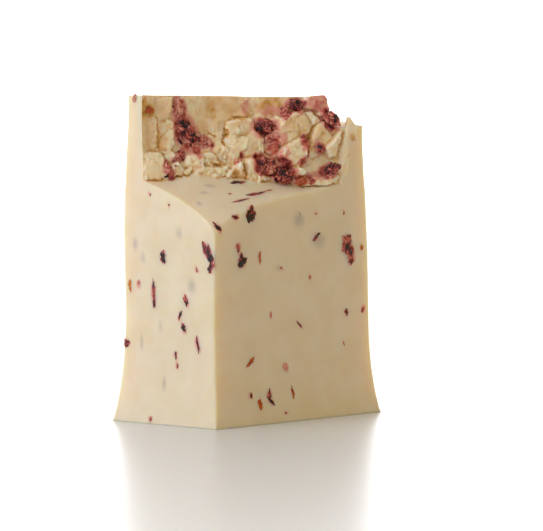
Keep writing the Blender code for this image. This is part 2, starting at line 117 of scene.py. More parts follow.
# Unevenness of the smooth sides, and how far the curds' outlines wander: grain, then height in
# millimetres. Then the shoulder's unevenness: its grain and its height.
SIDE_WAVES = ((16.0 * MM, 0.16), (4.5 * MM, 0.05))
CURD_WANDER = ((5.0 * MM, 0.9), (1.6 * MM, 0.35))
SHOULDER_GRAIN = 9.0 * MM
SHOULDER_UNEVENNESS = 0.22 * MM
# The fine relief of the break: grain, then height in millimetres, or tilt for the facets.
SOFT_RELIEF = (4.2 * MM, 0.40)
LARGE_FACETS = (4.6 * MM, 0.13)
SMALL_FACETS = (1.7 * MM, 0.10)
CRACKS = (7.5 * MM, 0.35)
FINE_GRAIN = (0.9 * MM, 0.10)
# How much of it is missing on smooth patches, and the grid of the curds that rise past the top.
CALM_SHARE = 0.85
STANDING_GRID = 0.45 * MM

# Blunt pieces of curd that stand out of the rough face, in millimetres: how far out, how much
# further out for each millimetre to the right and upwards, and the outline as (along, height).
CURDS = {
    "top_left": (1.5, 0.04, -0.04, ((-15, 145.5), (-14, 149.5), (-11, 150), (-4.5, 150),
        (-4, 146.5), (-5, 142.5), (-7.5, 139.5), (-11.5, 139), (-14, 141.5))),
    "left_column": (0.7, 0.03, 0.0, ((-21, 142.5), (-14, 141.5), (-12.5, 139), (-12.5, 133.5),
        (-13, 127.5), (-14.5, 125), (-21, 124.5))),
    "left": (1.7, 0.05, -0.14, ((-12, 138.5), (-8.5, 139.5), (-4.5, 139), (-3.5, 136), (-4, 127.5),
        (-7.5, 125.5), (-11.5, 125.5), (-12.5, 130))),
    "low_left": (2.4, 0.05, -0.1, ((-21, 124.5), (-12, 124.5), (-10.5, 121.5), (-10, 117),
        (-8.5, 112.5), (-15, 111), (-21, 111))),
    "low_left_top": (1.8, 0.08, -0.1, ((-11, 124.5), (-6, 125.5), (-4, 123.5), (-6, 120),
        (-9, 120.5))),
    "square": (3.2, -0.04, -0.06, ((-7, 119), (-3.5, 120.5), (-2, 118.5), (-1, 116), (-3.5, 113.5),
        (-7, 113), (-8, 116.5))),
    "under_tear": (2.6, 0.06, -0.16, ((0, 123), (3, 124.5), (6.5, 124), (9, 123.5), (9.5, 120),
        (7.5, 117), (3, 116), (0, 117))),
    "crumbly": (1.8, 0.0, -0.1, ((9, 123), (13, 124.5), (16, 123), (16, 119.5), (13, 117.5),
        (9.5, 118))),
    "base_left": (2.6, 0.0, -0.2, ((2.5, 116), (7.5, 117.5), (13.5, 117), (18.5, 117), (20, 114.5),
        (18, 111.5), (9.5, 111.5), (3, 112))),
    "low_wall": (1.0, 0.04, -0.06, ((12.5, 131.5), (18.5, 133.5), (21, 132), (20, 127), (17.5, 124),
        (13.5, 124.5), (12, 128))),
    "top_plate": (2.8, 0.05, 0.03, ((22.5, 138), (25.5, 139), (29.5, 140), (35, 140.5),
        (36.5, 137.5), (37, 134), (34.5, 133.5), (32, 131), (27.5, 129.5), (23, 131))),
    "long_slope": (2.2, 0.22, -0.02, ((23, 131.5), (28, 129.5), (33, 131.5), (31.5, 127),
        (28.5, 123.5), (25, 119), (21.5, 116), (18, 117.5), (17, 121.5), (18.5, 125), (20, 128))),
    "middle": (4.0, -0.03, -0.08, ((32, 131.5), (34.5, 134), (38, 133.5), (41, 131), (40, 128),
        (40.5, 124.5), (40, 122), (36, 121), (32, 121.5), (28.5, 123), (30.5, 127))),
    "foot_plate": (2.4, 0.12, -0.04, ((22.5, 117), (26.5, 121), (28, 119), (26.5, 116), (28.5, 112),
        (24.5, 111), (21.5, 111.5))),
    "foot": (3.2, -0.05, -0.1, ((30.5, 121.5), (34.5, 121.5), (36, 118.5), (35.5, 115.5), (38, 113),
        (36.5, 110.5), (32.5, 110), (30, 111), (29.5, 117))),
    "pebble": (2.2, 0.0, -0.1, ((45.5, 140), (48.5, 141), (50, 139.5), (49, 137), (47.5, 135),
        (45.5, 136))),
    "torn": (2.8, 0.0, -0.1, ((41, 128.5), (44.5, 130), (47, 129), (49, 125), (47, 122),
        (43.5, 123), (41, 124.5))),
    "boulder": (5.0, -0.05, -0.12, ((44.5, 131), (46, 134), (49, 140), (51.5, 141.5), (58.5, 143.5),
        (61, 143.5), (63, 140), (65, 136), (63.5, 133), (60, 132), (53.5, 130), (48.5, 127.5))),
    "boulder_side": (3.4, -0.1, -0.06, ((62, 143), (65.5, 143.5), (69, 139), (66.5, 138),
        (65.5, 136.5), (64, 139))),
    "low_boulder": (5.6, -0.02, -0.14, ((48.5, 126), (52, 129.5), (61, 132), (63, 129.5),
        (62.5, 125.5), (60, 120.5), (56.5, 117), (52.5, 116.5), (50, 118), (47, 122.5))),
    "right": (3.4, -0.1, 0.02, ((66, 135), (67.5, 137.5), (70, 139), (71.5, 133.5), (74.5, 132.5),
        (76, 131.5), (72.5, 129), (71, 125), (71.5, 122), (67.5, 121.5), (63, 120.5), (62.5, 123.5),
        (64, 127.5), (64, 131.5))),
    "leaf": (4.4, -0.16, 0.0, ((70.5, 125.5), (73, 129.5), (76, 132), (79.5, 134), (78, 129.5),
        (76.5, 125), (76, 122), (72.5, 121.5))),
    "dome": (5.0, 0.0, -0.1, ((52, 113.5), (53, 116), (55.5, 117), (58, 117), (60, 115),
        (58.5, 113), (54.5, 112))),
    "rim": (1.6, 0.0, 0.0, ((77.5, 119), (78, 125), (79.5, 129.5), (82, 134), (85, 137.5),
        (87.5, 135), (88, 132), (85.5, 128), (83.5, 123), (80.5, 117.5), (78.5, 116))),
    "rim_tip": (0.6, 0.0, 0.0, ((80.5, 134.5), (81.6, 137.4), (82.9, 141), (83.5, 140.6), (85, 138),
        (87.6, 135.6), (87, 130), (81.5, 130))),
    "top": (3.6, -0.03, -0.04, ((61, 145), (60.5, 148), (61.5, 150), (64.5, 150.7), (72, 151.3),
        (73, 149), (73, 146.5), (74.5, 144.5), (74, 142.5), (70, 143.5), (65, 144))),
    "lip": (4.6, 0.0, -0.3, ((51.5, 109.5), (59, 110.5), (68, 111), (71.5, 113), (76, 114.5),
        (77, 112.5), (70, 109), (59, 107.5), (53, 107.5))),
}
# A curd reaches this far behind the face, where it is a little smaller. It is widest part of the
# way out, and its front is smaller and uneven. Its outline is ragged by a little.
CURD_ROOT = 4.0
CURD_TAPER = 0.92
CURD_WAIST = 0.55
CURD_FRONT = 0.80
CURD_UNEVEN = 0.45
CURD_RAGGED = 0.2
CRUMB_COUNT = 26
CRUMB_SIZE = (1.1 * MM, 2.2 * MM)
CRUMB_ROW = (WALL_LEFT + 6.0 * MM, WALL_RIGHT - 8.0 * MM)
CRUMB_RISE = (0.5 * MM, 4.0 * MM)
FINE_CRUMB_COUNT = 80
FINE_CRUMB_SIZE = (0.5 * MM, 1.2 * MM)

# Cranberries in the rough face, in millimetres:
# node, kind, along, height, out of the face, half width, half height, half depth, turn.
CRANBERRIES = (
    ("cranberry_left", "dark", 2.8, 134.0, 0.8, 4.2, 7.0, 3.0, -20),
    ("cranberry_left_tail", "red", 11.4, 129.2, 1.8, 5.6, 2.1, 1.9, 24),
    ("cranberry_left_strand", "pink", -1.2, 145.6, 1.0, 1.8, 4.4, 1.6, -20),
    ("cranberry_left_spur", "red", -2.4, 122.8, 2.4, 1.7, 4.4, 1.6, 40),
    ("cranberry_foot", "red", -8.8, 116.2, 3.2, 1.5, 4.4, 1.6, -18),
    ("cranberry_middle", "dark", 42.2, 136.2, 1.8, 5.0, 3.8, 3.2, 0),
    ("cranberry_middle_low", "red", 43.8, 131.0, 3.2, 3.6, 1.8, 1.8, -30),
    ("cranberry_cluster", "red", 40.6, 118.2, 3.4, 5.0, 4.2, 3.2, 24),
    ("cranberry_cluster_low", "dark", 47.2, 113.2, 3.8, 4.4, 3.6, 3.0, 30),
    ("cranberry_top", "dark", 58.2, 146.6, 1.6, 3.6, 3.0, 2.8, 0),
    ("cranberry_top_flake", "red", 53.2, 143.6, 0.8, 1.5, 3.0, 1.4, 30),
    ("cranberry_peak", "red", 74.8, 139.6, 4.0, 5.2, 3.0, 3.0, 36),
    ("cranberry_right", "dark", 71.8, 116.0, 4.0, 4.8, 2.8, 2.6, -28),
    ("cranberry_flat", "dark", 68.0, 125.8, 3.6, 1.5, 3.0, 1.3, -20),
    ("cranberry_corner", "red", -23.4, 149.4, -4.5, 1.3, 2.2, 1.3, 10),
    ("amber_berry_low", "amber", 55.6, 110.6, 5.4, 3.0, 1.9, 2.0, -24),
    ("amber_berry_left", "amber", -17.0, 143.8, 0.6, 2.4, 1.8, 1.5, 8),
)

# A berry's folds, wrinkles, deep creases and fine creases: how high as a share of its size, and how
# close together.
BERRY_FOLD = (0.26, 1.3)
BERRY_WRINKLE = (0.14, 3.4)
BERRY_CREASE = (0.36, 2.1)
BERRY_FINE_CREASE = (0.05, 5.0)
# From what half width times half height a berry has a finer grid, how deep a crease must be for the
# full painted shade, and how near the curd its skin is torn thin.
BIG_BERRY = 9.0
BERRY_FOLD_DEPTH = 0.25 * MM
TORN_REACH = (0.1 * MM, 1.3 * MM)
TORN_GRAIN = 1.3 * MM
TORN_RAGGED = 0.8
# Cut fruit: its thickness, how deep its middle lies, how far it may stand out, and how deep a crease
# must be for the full painted shade.
CUT_THICKNESS = 0.42 * MM
CUT_SINK = 0.30 * MM
CUT_PROUD = 0.2 * MM
CUT_FOLD_DEPTH = 0.1 * MM
# Scraps of torn fruit: how many to a metre of berry, how far they stray in millimetres and at most,
# how many millimetres in front of the face they start from, and their size in millimetres.
SCRAPS_PER_METRE = 1100
SCRAP_SPREAD = 0.9
SCRAP_REACH = 5.0 * MM
SCRAP_START = 12
SCRAP_SIZE = (0.5, 1.2)
SCRAP_FLATNESS = 0.28

# Fruit cut through by the knife, in millimetres: kind, away, height, half width, half height, turn.
# On the left side and the front side, away is the distance from the front edge.
LEFT_BITS = (
    ("dark", 31.9, 76.8, 1.9, 3.0, 0),
    ("dark", 3.6, 79.6, 2.0, 4.6, 24),
    ("gold", 53.0, 63.2, 1.3, 2.6, 0),
    ("red", 47.3, 64.3, 0.9, 1.6, 0),
    ("dark", 37.7, 59.6, 0.9, 6.2, 4),
    ("dark", 17.4, 57.7, 1.2, 3.0, 25),
    ("dark", 18.7, 44.9, 1.3, 2.4, 20),
    ("dark", 21.2, 50.2, 0.8, 2.2, -20),
    ("dark", 55.1, 36.2, 1.8, 2.0, 15),
    ("dark", 9.9, 37.5, 0.8, 4.0, 12),
    ("dark", 23.7, 32.3, 0.6, 2.2, 0),
    ("dark", 22.5, 27.3, 0.5, 1.2, 0),
    ("red", 37.2, 2.4, 0.9, 1.3, 0),
    ("dark", 10.5, 71.6, 0.4, 1.2, 10),
    ("red", 40.7, 105.1, 0.4, 0.6, 0),
    ("red", 1.8, 72.9, 1.6, 2.6, -20),
)
FRONT_BITS = (
    ("dark", 24.0, 96.4, 2.9, 3.4, -10),
    ("red", 13.9, 95.5, 2.0, 1.1, 0),
    ("dark", 2.6, 91.3, 1.0, 2.4, 15),
    ("red", 15.3, 81.4, 1.2, 1.9, 0),
    ("dark", 17.9, 74.9, 2.7, 2.6, 25),
    ("amber", 30.1, 76.3, 0.9, 3.2, 0),
    ("dark", 69.1, 84.7, 0.9, 3.2, -50),
    ("green", 57.8, 95.8, 0.5, 1.2, 30),
    ("red", 91.4, 80.8, 3.4, 4.4, 24),
    ("red", 94.4, 74.4, 2.6, 3.6, -10),
    ("gold", 102.0, 79.0, 1.2, 1.6, 0),
    ("pink", 64.8, 66.2, 1.0, 1.0, 0),
    ("amber", 89.0, 95.4, 0.5, 1.2, 0),
    ("red", 44.6, 71.2, 0.5, 0.8, 0),
    ("red", 69.0, 95.5, 0.4, 0.5, 0),
)
# On the shoulder: kind, along, in, half width, half depth, turn.
LEDGE_BITS = (
    ("dark", 24.4, 35.4, 3.2, 1.5, 20),
    ("dark", 29.6, 24.8, 5.2, 1.1, 28),
    ("dark", 18.6, 17.6, 5.6, 0.5, 22),
    ("red", 15.6, 23.6, 0.7, 0.5, 0),
    ("dark", 40.9, 17.9, 0.5, 0.4, 0),
    ("red", -13.3, 25.3, 0.6, 0.4, 0),
    ("amber", 37.0, 29.2, 2.0, 0.8, 25),
)
# Fruit just under the surface, seen through it: side, away, height, half width, half height.
SUNKEN = (
    ("left", 49.8, 82.3, 1.6, 3.0),
    ("left", 44.7, 76.0, 1.2, 2.4),
    ("left", 45.4, 37.2, 0.8, 3.6),
    ("left", 13.6, 64.2, 2.6, 3.2),
    ("left", 30.7, 19.0, 1.2, 3.2),
    ("left", 22.0, 88.0, 1.6, 2.4),
    ("left", 33.0, 45.0, 1.0, 2.6),
    ("front", 70.6, 83.0, 5.0, 3.6),
    ("front", 57.0, 93.0, 4.0, 3.4),
    ("front", 43.0, 71.5, 2.0, 1.2),
    ("ledge", 3.1, 23.8, 2.2, 1.2),
    ("ledge", 8.0, 30.0, 3.0, 1.6),
    ("ledge", -2.0, 16.0, 1.4, 1.6),
)
# Curds that rise past the block's own top.
STANDING = ("top", "rim_tip")
# Smooth patches of the rough face, in millimetres: along, height, half along, half height, turn.
CALM = (
    (24.0, 144.0, 14.0, 9.0, 0),
    (46.0, 146.0, 12.0, 4.5, 0),
    (12.0, 138.0, 5.0, 13.0, 0),
    (70.0, 117.5, 9.0, 5.0, -20),
    (82.0, 127.0, 3.5, 14.0, 18),
    (-17.5, 134.0, 3.0, 12.0, 0),
    (29.0, 124.0, 3.0, 9.0, 35),
    (-9.5, 145.0, 4.0, 5.0, 0),
    (15.0, 128.0, 5.0, 7.0, 0),
    (-15.0, 117.0, 5.0, 5.0, 0),
)
# Crumbly patches, in millimetres: along, height, half along, half height, how far out.
CRUMBLY = (
    (7.0, 118.5, 7.0, 5.0, 2.0),
    (14.5, 120.0, 5.0, 4.0, 1.4),
    (10.0, 112.8, 14.0, 2.4, 2.4),
    (10.0, 112.4, 12.0, 1.6, 3.2),
    (20.0, 128.0, 3.0, 6.0, 0.6),
    (34.0, 111.6, 7.0, 2.0, 3.2),
    (62.0, 110.2, 12.0, 1.6, 4.4),
    (46.0, 118.0, 6.0, 6.0, 2.0),
    (70.0, 142.0, 5.0, 4.0, 2.4),
)
# Fruit juice and torn skin on the curd, in millimetres: along, height, half along, half height,
# turn, strength.
STAINS = (
    (2.4, 133.4, 7.0, 11.0, -18, 0.72),
    (8.6, 129.0, 5.0, 4.2, 25, 0.70),
    (-0.4, 144.6, 4.2, 7.0, -15, 0.66),
    (6.6, 125.2, 3.2, 3.6, -10, 0.75),
    (-2.2, 123.2, 2.2, 3.6, 40, 0.55),
    (-9.0, 117.0, 1.8, 4.8, -15, 0.70),
    (41.4, 135.4, 8.0, 5.6, 0, 0.66),
    (33.8, 144.9, 2.6, 5.0, 10, 0.34),
    (45.6, 143.6, 7.0, 3.0, 0, 0.30),
    (44.6, 131.2, 4.4, 3.0, 0, 0.80),
    (37.4, 118.8, 5.4, 5.8, 0, 0.92),
    (45.0, 126.0, 3.8, 4.8, 20, 0.62),
    (46.4, 114.4, 7.8, 4.6, 10, 0.95),
    (50.6, 118.4, 3.0, 6.0, -40, 0.90),
    (60.2, 128.6, 2.8, 4.0, 0, 0.95),
    (61.8, 124.0, 0.9, 2.6, -15, 0.90),
    (58.9, 119.6, 3.4, 2.2, 0, 0.85),
    (68.2, 126.2, 2.0, 4.2, -20, 0.70),
    (74.4, 137.6, 5.2, 4.0, 30, 0.95),
    (68.0, 146.8, 6.6, 4.6, 0, 0.50),
    (71.4, 148.4, 2.2, 3.4, 0, 0.55),
    (72.6, 142.4, 4.4, 3.0, 30, 0.80),
    (58.2, 146.0, 5.0, 4.2, 0, 0.85),
    (52.8, 142.4, 2.0, 5.0, 32, 0.92),
    (70.0, 115.0, 5.6, 3.2, -25, 0.75),
    (61.0, 111.8, 2.0, 2.6, 0, 0.92),
    (56.0, 111.4, 4.6, 2.8, -20, 0.60),
    (25.8, 120.2, 4.8, 0.5, -45, 0.75),
    (28.8, 122.2, 1.6, 2.2, 0, 0.85),
    (48.4, 130.2, 4.2, 4.0, 0, 0.34),
    (50.4, 123.4, 1.8, 3.8, 10, 0.42),
    (65.0, 112.6, 4.0, 2.2, 0, 0.45),
    (-11.0, 133.0, 0.6, 3.0, 0, 0.30),
)
# How far the edges of stains wander: grain, then height in millimetres.
STAIN_WANDER = ((2.4 * MM, 1.3), (0.8 * MM, 0.5))
# Juice spreads about this far from a berry, give or take as much, in patches of such a grain.
JUICE_REACH = 2.2 * MM
JUICE_GRAIN = 2.2 * MM
JUICE_STRENGTH = 0.62
# Juice round cut fruit, how clearly sunken fruit shows, how near the surface both must be, and how
# deep a hollow of the rough face must be for the full painted amber glow and shade.
CUT_JUICE = 1.0 * MM
CUT_JUICE_STRENGTH = 0.28
SUNKEN_STRENGTH = 0.5
NEAR_SURFACE = 2.0 * MM
FULL_HOLLOW = 0.5 * MM
# Juice fades between these depths behind the face.
STAIN_DEPTH = (2.5 * MM, 8.0 * MM)
# Painted light on the rough face, a warm glow in thin places and painted shade in deep cracks: along,
# height, half along, half height, turn, strength.
PAINTED_GLOW_AND_SHADE = (
    (46.2, 145.4, 8.5, 4.4, 0, 0.62),
    (16.4, 143.4, 4.0, 6.0, 0, 0.45),
    (24.0, 144.5, 14.0, 8.0, 0, 0.26),
    (11.5, 138.0, 4.0, 12.0, 0, 0.20),
    (-20.0, 145.0, 2.2, 6.0, 0, 0.60),
    (-17.0, 134.0, 3.4, 13.0, 0, 0.20),
    (-17.0, 143.8, 4.2, 3.6, 0, 0.75),
    (-10.8, 129.4, 3.6, 4.0, 0, 0.45),
    (-12.2, 132.0, 0.7, 7.5, -6, 0.60),
    (28.6, 116.0, 1.4, 4.4, 0, 0.95),
    (23.6, 114.6, 1.5, 2.2, 0, 0.85),
    (64.8, 127.0, 2.6, 4.0, 0, 0.55),
    (84.0, 130.4, 2.0, 2.8, 0, 0.65),
    (29.6, 140.2, 5.0, 0.8, 3, 0.90),
    (34.6, 141.6, 2.0, 1.6, 0, 0.55),
    (15.4, 132.8, 3.8, 0.7, 25, 0.85),
    (22.8, 133.6, 0.7, 3.6, -15, 0.80),
    (20.2, 128.4, 0.7, 2.6, -25, 0.80),
    (15.8, 118.8, 2.8, 1.0, 0, 0.75),
    (16.4, 121.4, 0.8, 2.4, 0, 0.65),
    (-2.6, 113.4, 4.6, 0.8, 4, 0.85),
    (-16.0, 111.8, 5.0, 0.8, 0, 0.60),
    (60.6, 133.4, 3.6, 0.9, 8, 0.55),
    (76.6, 119.6, 1.6, 3.0, 0, 0.40),
    (-9.5, 145.0, 5.5, 5.5, 0, 0.24),
    (55.5, 137.0, 8.5, 6.0, 0, 0.20),
    (68.0, 132.0, 3.6, 7.0, 0, 0.26),
)
# Bits where the photograph doesn't show the block: side, how many, range away, range of height.
UNSEEN = (
    ("back", 34, (5.0, 108.0), (8.0, 142.0)),
    ("right", 17, (6.0, 56.0), (8.0, 126.0)),
    ("front", 12, (22.0, 104.0), (6.0, 52.0)),
    ("top", 7, (-36.0, 40.0), (6.0, 28.0)),
)

# Looks. Colours are linear.
CREAM = (0.86, 0.75, 0.575)
CREAM_DEEP = (0.83, 0.705, 0.505)
# The broken face's own yellower curd colours, partly painted light: made brighter to stand in for light
# its shaded recess lacks.
CURD = (0.92, 0.735, 0.465)
CURD_PALE = (0.94, 0.83, 0.63)
# A painted highlight for the ridges of the rough face.
PAINTED_CURD_HIGHLIGHT = (0.98, 0.91, 0.78)
# Painted light: an amber glow for thin places, and a darker amber as painted shade in deep cracks.
PAINTED_AMBER_GLOW = (0.76, 0.43, 0.14)
PAINTED_CRACK_SHADE = (0.38, 0.17, 0.035)
BLUSH = (0.82, 0.41, 0.31)
ROSE = (0.58, 0.13, 0.095)
CRIMSON = (0.27, 0.027, 0.030)
PURPLE = (0.024, 0.004, 0.007)
FRUIT_BLACK = (0.006, 0.001, 0.002)
SUNKEN_TINT = (0.42, 0.36, 0.34)
FRUIT_AMBER = (0.42, 0.050, 0.005)
FRUIT_ORANGE = (0.56, 0.120, 0.014)
FRUIT_GOLD = (0.60, 0.28, 0.05)
HERB_GREEN = (0.10, 0.14, 0.02)
# How far light goes into the cheese: under a cut side, under the rough face, and up to what height
# it goes less far, near the floor.
SCATTER_SMOOTH = 10.0 * MM
SCATTER_ROUGH = 1.6 * MM
SCATTER_FOOT = 12.0 * MM

# The studio: its light comes from the left and from behind, and is dim and warm on the right.
LIGHT_FROM = (-0.95, 0.31, 0.0)
STUDIO_WHITE = (0.70, 0.718, 0.762)
STUDIO_WARM = (0.46, 0.300, 0.030)
STUDIO_TOP = (0.59, 0.57, 0.53)
BACKDROP = 2.9
# Between which values of the cosine to the light's side, to straight up and to the line of sight
# the studio turns from warm to white, to its top and to its backdrop.
TURN_TO_WHITE = (-0.35, 0.75)
TURN_TO_TOP = (0.35, 0.9)
TURN_TO_BACKDROP = (0.55, 0.95)
# One lamp, on the left and higher than the block, and the pale floor that the block stands on.
KEY_AT = (-1.1, 0.25, 0.50)
KEY_TARGET = (0, 0, 0.10)
KEY_SIZE = (0.5, 0.7)
KEY_POWER = 4.0
FLOOR_RADIUS = 4.0
FLOOR_COLOUR = (0.80, 0.82, 0.86)
FLOOR_ROUGHNESS = 0.30

# The camera: level with the block's top, and turned so that both sides by the front edge show.
CAMERA_AT = (-1.15178, -1.05150, 0.1500)
CAMERA_HEADING = 48.0
CAMERA_PITCH = 2.90
CAMERA_LENS = 220.6


def inset(side, z):
    """How far a side has drawn in at height z, from where it is at the base."""
    lean, crest, wave = LEAN[side]
    foot = FOOT_SPREAD * (1 - math.exp(-z / FOOT_RISE))
    swing = math.cos(math.tau * (z - crest) / WAVE_LENGTH) - math.cos(math.tau * crest / WAVE_LENGTH)
    return lean * z / HEIGHT + foot - wave * swing


def left(z):
    return -BASE_WIDTH / 2 + inset("left", z)


def right(z):
    return BASE_WIDTH / 2 - inset("right", z)


def front(z):
    return -BASE_DEPTH / 2 + inset("front", z)


def back(z):
    return BASE_DEPTH / 2 - inset("back", z)


DIAGONAL = math.hypot(REACH_X, REACH_Y)
CORNER = Vector((left(LEDGE_HEIGHT), front(LEDGE_HEIGHT), 0))
ALONG = Vector((REACH_X, -REACH_Y, 0)) / DIAGONAL
INWARD = Vector((REACH_Y, REACH_X, 0)) / DIAGONAL


def smooth_step(value, low, high):
    share = min(max((value - low) / (high - low), 0.0), 1.0)
    return share * share * (3 - 2 * share)


def ledge_height(along, inward):
    """The shoulder climbs steeply from the front corner and levels out towards the rough face."""
    share = smooth_step(along, *LEDGE_HALVES)
    low = LEDGE_LOW[0] + (LEDGE_LOW[1] - LEDGE_LOW[0]) * share
    high = LEDGE_HIGH[0] + (LEDGE_HIGH[1] - LEDGE_HIGH[0]) * share
    swell = LEDGE_SWELL * smooth_step(along, *SWELL_RISE) * (1 - smooth_step(along, *SWELL_FALL))
    way_in = max(inward, 0.0) / WALL_FOOT_IN
    return low + (high - low) * way_in ** LEDGE_BEND + swell * min(way_in, 1.0) ** 2


def smooth_least(first, second, blend):
    """The lesser of two lengths, rounded off where they are close."""
    share = min(max(0.5 + 0.5 * (second - first) / blend, 0.0), 1.0)
    return second + (first - second) * share - blend * share * (1 - share)


def whole_wall_inward(along, z):
    """How far behind the front corner the rough face lies, without its curds and its notch."""
    across = min(max((along - WALL_LEFT) / (WALL_RIGHT - WALL_LEFT), 0.0), 1.0)
    bow = math.sin(math.pi * across) ** 0.5
    end = WALL_LEFT_IN + (WALL_RIGHT_IN - WALL_LEFT_IN) * across
    upper = end + (WALL_MIDDLE_IN - end) * bow
    foot = WALL_FOOT_IN + (end - WALL_FOOT_IN) * (1 - bow)
    rise = smooth_step(z, WALL_FOOT_HEIGHT - 2 * MM, WALL_FOOT_HEIGHT + WALL_RISE)
    recess = TOP_RECESS * smooth_step(z, *TOP_BAND) * smooth_step(along, *TOP_BAND_ALONG)
    uneven = ROUGHNESS * noise.noise(Vector((along, 0, z)) / ROUGH_GRAIN)
    inward = foot + (upper - foot) * rise + (recess + uneven) * bow

    ragged = 2 * ROUGHNESS * noise.noise(Vector((0, 7, z / ROUGH_GRAIN)))
    rim = RIM_LOW + RIM_SPREAD * smooth_step(z, WALL_FOOT_HEIGHT, RIM_TOP_HEIGHT) + ragged
    closing = rim * REACH_Y / REACH_X + RIM_SLOPE * (rim - along)
    return smooth_least(inward, closing, RIM_ROUNDING)


def wall_inward(along, z):
    """The same with the notch, above which the top right corner is gone."""
    inward = whole_wall_inward(along, z)
    start = NOTCH_START + NOTCH_SLANT * (HEIGHT - z)
    ragged = 2 * ROUGHNESS * noise.noise(Vector((along / ROUGH_GRAIN, 3, 0)))
    level = NOTCH_HEIGHT + ragged
    above = smooth_step(z, level - NOTCH_EDGE / 2, level + NOTCH_EDGE / 2)
    notch = above * smooth_step(along, start, start + NOTCH_EDGE)
    return inward + (NOTCH_DEPTH - inward) * notch


def break_point(along, inward, z):
    return CORNER + ALONG * along + INWARD * inward + Vector((0, 0, z))


def break_place(point):
    """Along, in and height of a point: the opposite of break_point."""
    offset = point - CORNER
    return offset.dot(ALONG), offset.dot(INWARD), point.z


def wall_placing(along, z, out, turn):
    """Local X along the face, local Y into it, local Z up, turned in the face's plane."""
    basis = Matrix((ALONG, INWARD, Vector((0, 0, 1)))).transposed().to_4x4()
    place = Matrix.Translation(break_point(along, wall_inward(along, z) - out, z))
    return place @ basis @ Matrix.Rotation(math.radians(turn), 4, "Y")


def grid_box(segments):
    """A cube from -1 to 1 whose faces are cut into a grid, with so many segments on each axis."""
    mesh = bmesh.new()
    bmesh.ops.create_cube(mesh, size=2)
    for axis, count in enumerate(segments):
        edges = [
            edge
            for edge in mesh.edges
            if abs(edge.verts[0].co[axis] - edge.verts[1].co[axis]) > 1
        ]
        bmesh.ops.subdivide_edges(mesh, edges=edges, cuts=count - 1, use_grid_fill=True)
    return mesh


def add_object(name, mesh):
    data = bpy.data.meshes.new(name)
    mesh.to_mesh(data)
    mesh.free()
    made = bpy.data.objects.new(name, data)
    bpy.context.scene.collection.objects.link(made)
    return made


def apply_modifiers(target):
    bpy.context.view_layer.update()
    graph = bpy.context.evaluated_depsgraph_get()
    result = bpy.data.meshes.new_from_object(target.evaluated_get(graph))
    target.modifiers.clear()
    target.data = result


def boolean(target, operation, tool):
    """Applies one Boolean of target with another object, which is then removed."""
    cut = target.modifiers.new(operation.lower(), "BOOLEAN")
    cut.operation = operation
    cut.object = tool
    cut.solver = "MANIFOLD"
    apply_modifiers(target)
    bpy.data.objects.remove(tool)


def wander(place, waves):
    """A shift that drifts from place to place: for each wave its grain, then its height in millimetres."""
    return sum((noise.noise_vector(place / grain) * height * MM for grain, height in waves), Vector())


def crowd_ends(value):
    """Moves a grid place between -1 and 1 towards the ends, so that edges get a finer grid."""
    return value + EDGE_CROWDING * (value * (1.5 - 0.5 * value * value) - value)


def make_block():
    """The whole block before its corner was broken off, with slightly uneven sides."""
    mesh = grid_box(SIDE_GRID)
    for vertex in mesh.verts:
        u, v, w = (crowd_ends(value) for value in vertex.co)
        z = HEIGHT * (w + 1) / 2
        x = left(z) + (right(z) - left(z)) * (u + 1) / 2
        y = front(z) + (back(z) - front(z)) * (v + 1) / 2
        place = Vector((x, y, z - TOP_TILT * x * (z / HEIGHT) ** 8))
        shift = wander(place, SIDE_WAVES)
        if w < -0.999:
            shift.z = 0.0
        vertex.co = place + shift
    return add_object("block", mesh)


def make_break_cutter(relief):
    """The space of the missing corner, whose back face carries the fine relief of the break."""
    mesh = grid_box(BREAK_GRID)
    low, high = WALL_LEFT, WALL_RIGHT
    ends = (low - CUT_MARGIN, low - GRID_MARGIN, high + GRID_MARGIN, high + CUT_MARGIN)
    levels = (WALL_FOOT_HEIGHT, HEIGHT + GRID_MARGIN, HEIGHT + CUT_MARGIN)
    top = HEIGHT + CUT_MARGIN
    feet = {}
    for vertex in mesh.verts:
        p, q, r = ((value + 1) / 2 for value in vertex.co)
        along = float(np.interp(p, (0, *GRID_MARGIN_SHARE, 1), ends))
        level = float(np.interp(r, (0, GRID_TOP_SHARE, 1), levels))
        if p not in feet:
            feet[p] = face_inward(relief, along, WALL_FOOT_HEIGHT, ledge_height(along, WALL_FOOT_IN))
        foot = feet[p]
        lift = (level - WALL_FOOT_HEIGHT) / (top - WALL_FOOT_HEIGHT)
        reach = wall_inward(along, level)
        near_foot = 1 - smooth_step(lift, 0.0, 0.15)
        floor = ledge_height(along, reach + (foot - reach) * near_foot)
        if r == 0:
            reach = foot
        elif q > 0.999:
            reach = face_inward(relief, along, level, floor + (top - floor) * lift)
        if q < FRONT_ROW:
            inward = CUT_MARGIN * (q / FRONT_ROW - 1)
        else:
            inward = reach * ((q - FRONT_ROW) / (1 - FRONT_ROW)) ** ROW_CROWDING
        if q < 0.999:
            floor = ledge_height(along, inward)
        place = break_point(along, inward, floor + (top - floor) * lift)
        if r == 0 and q < 0.999:
            place.z += SHOULDER_UNEVENNESS * noise.noise(place / SHOULDER_GRAIN)
        vertex.co = place
    for face in mesh.faces:
        face.material_index = 1 if face.normal.y > 0.9 else 0
    return add_object("break_cutter", mesh)


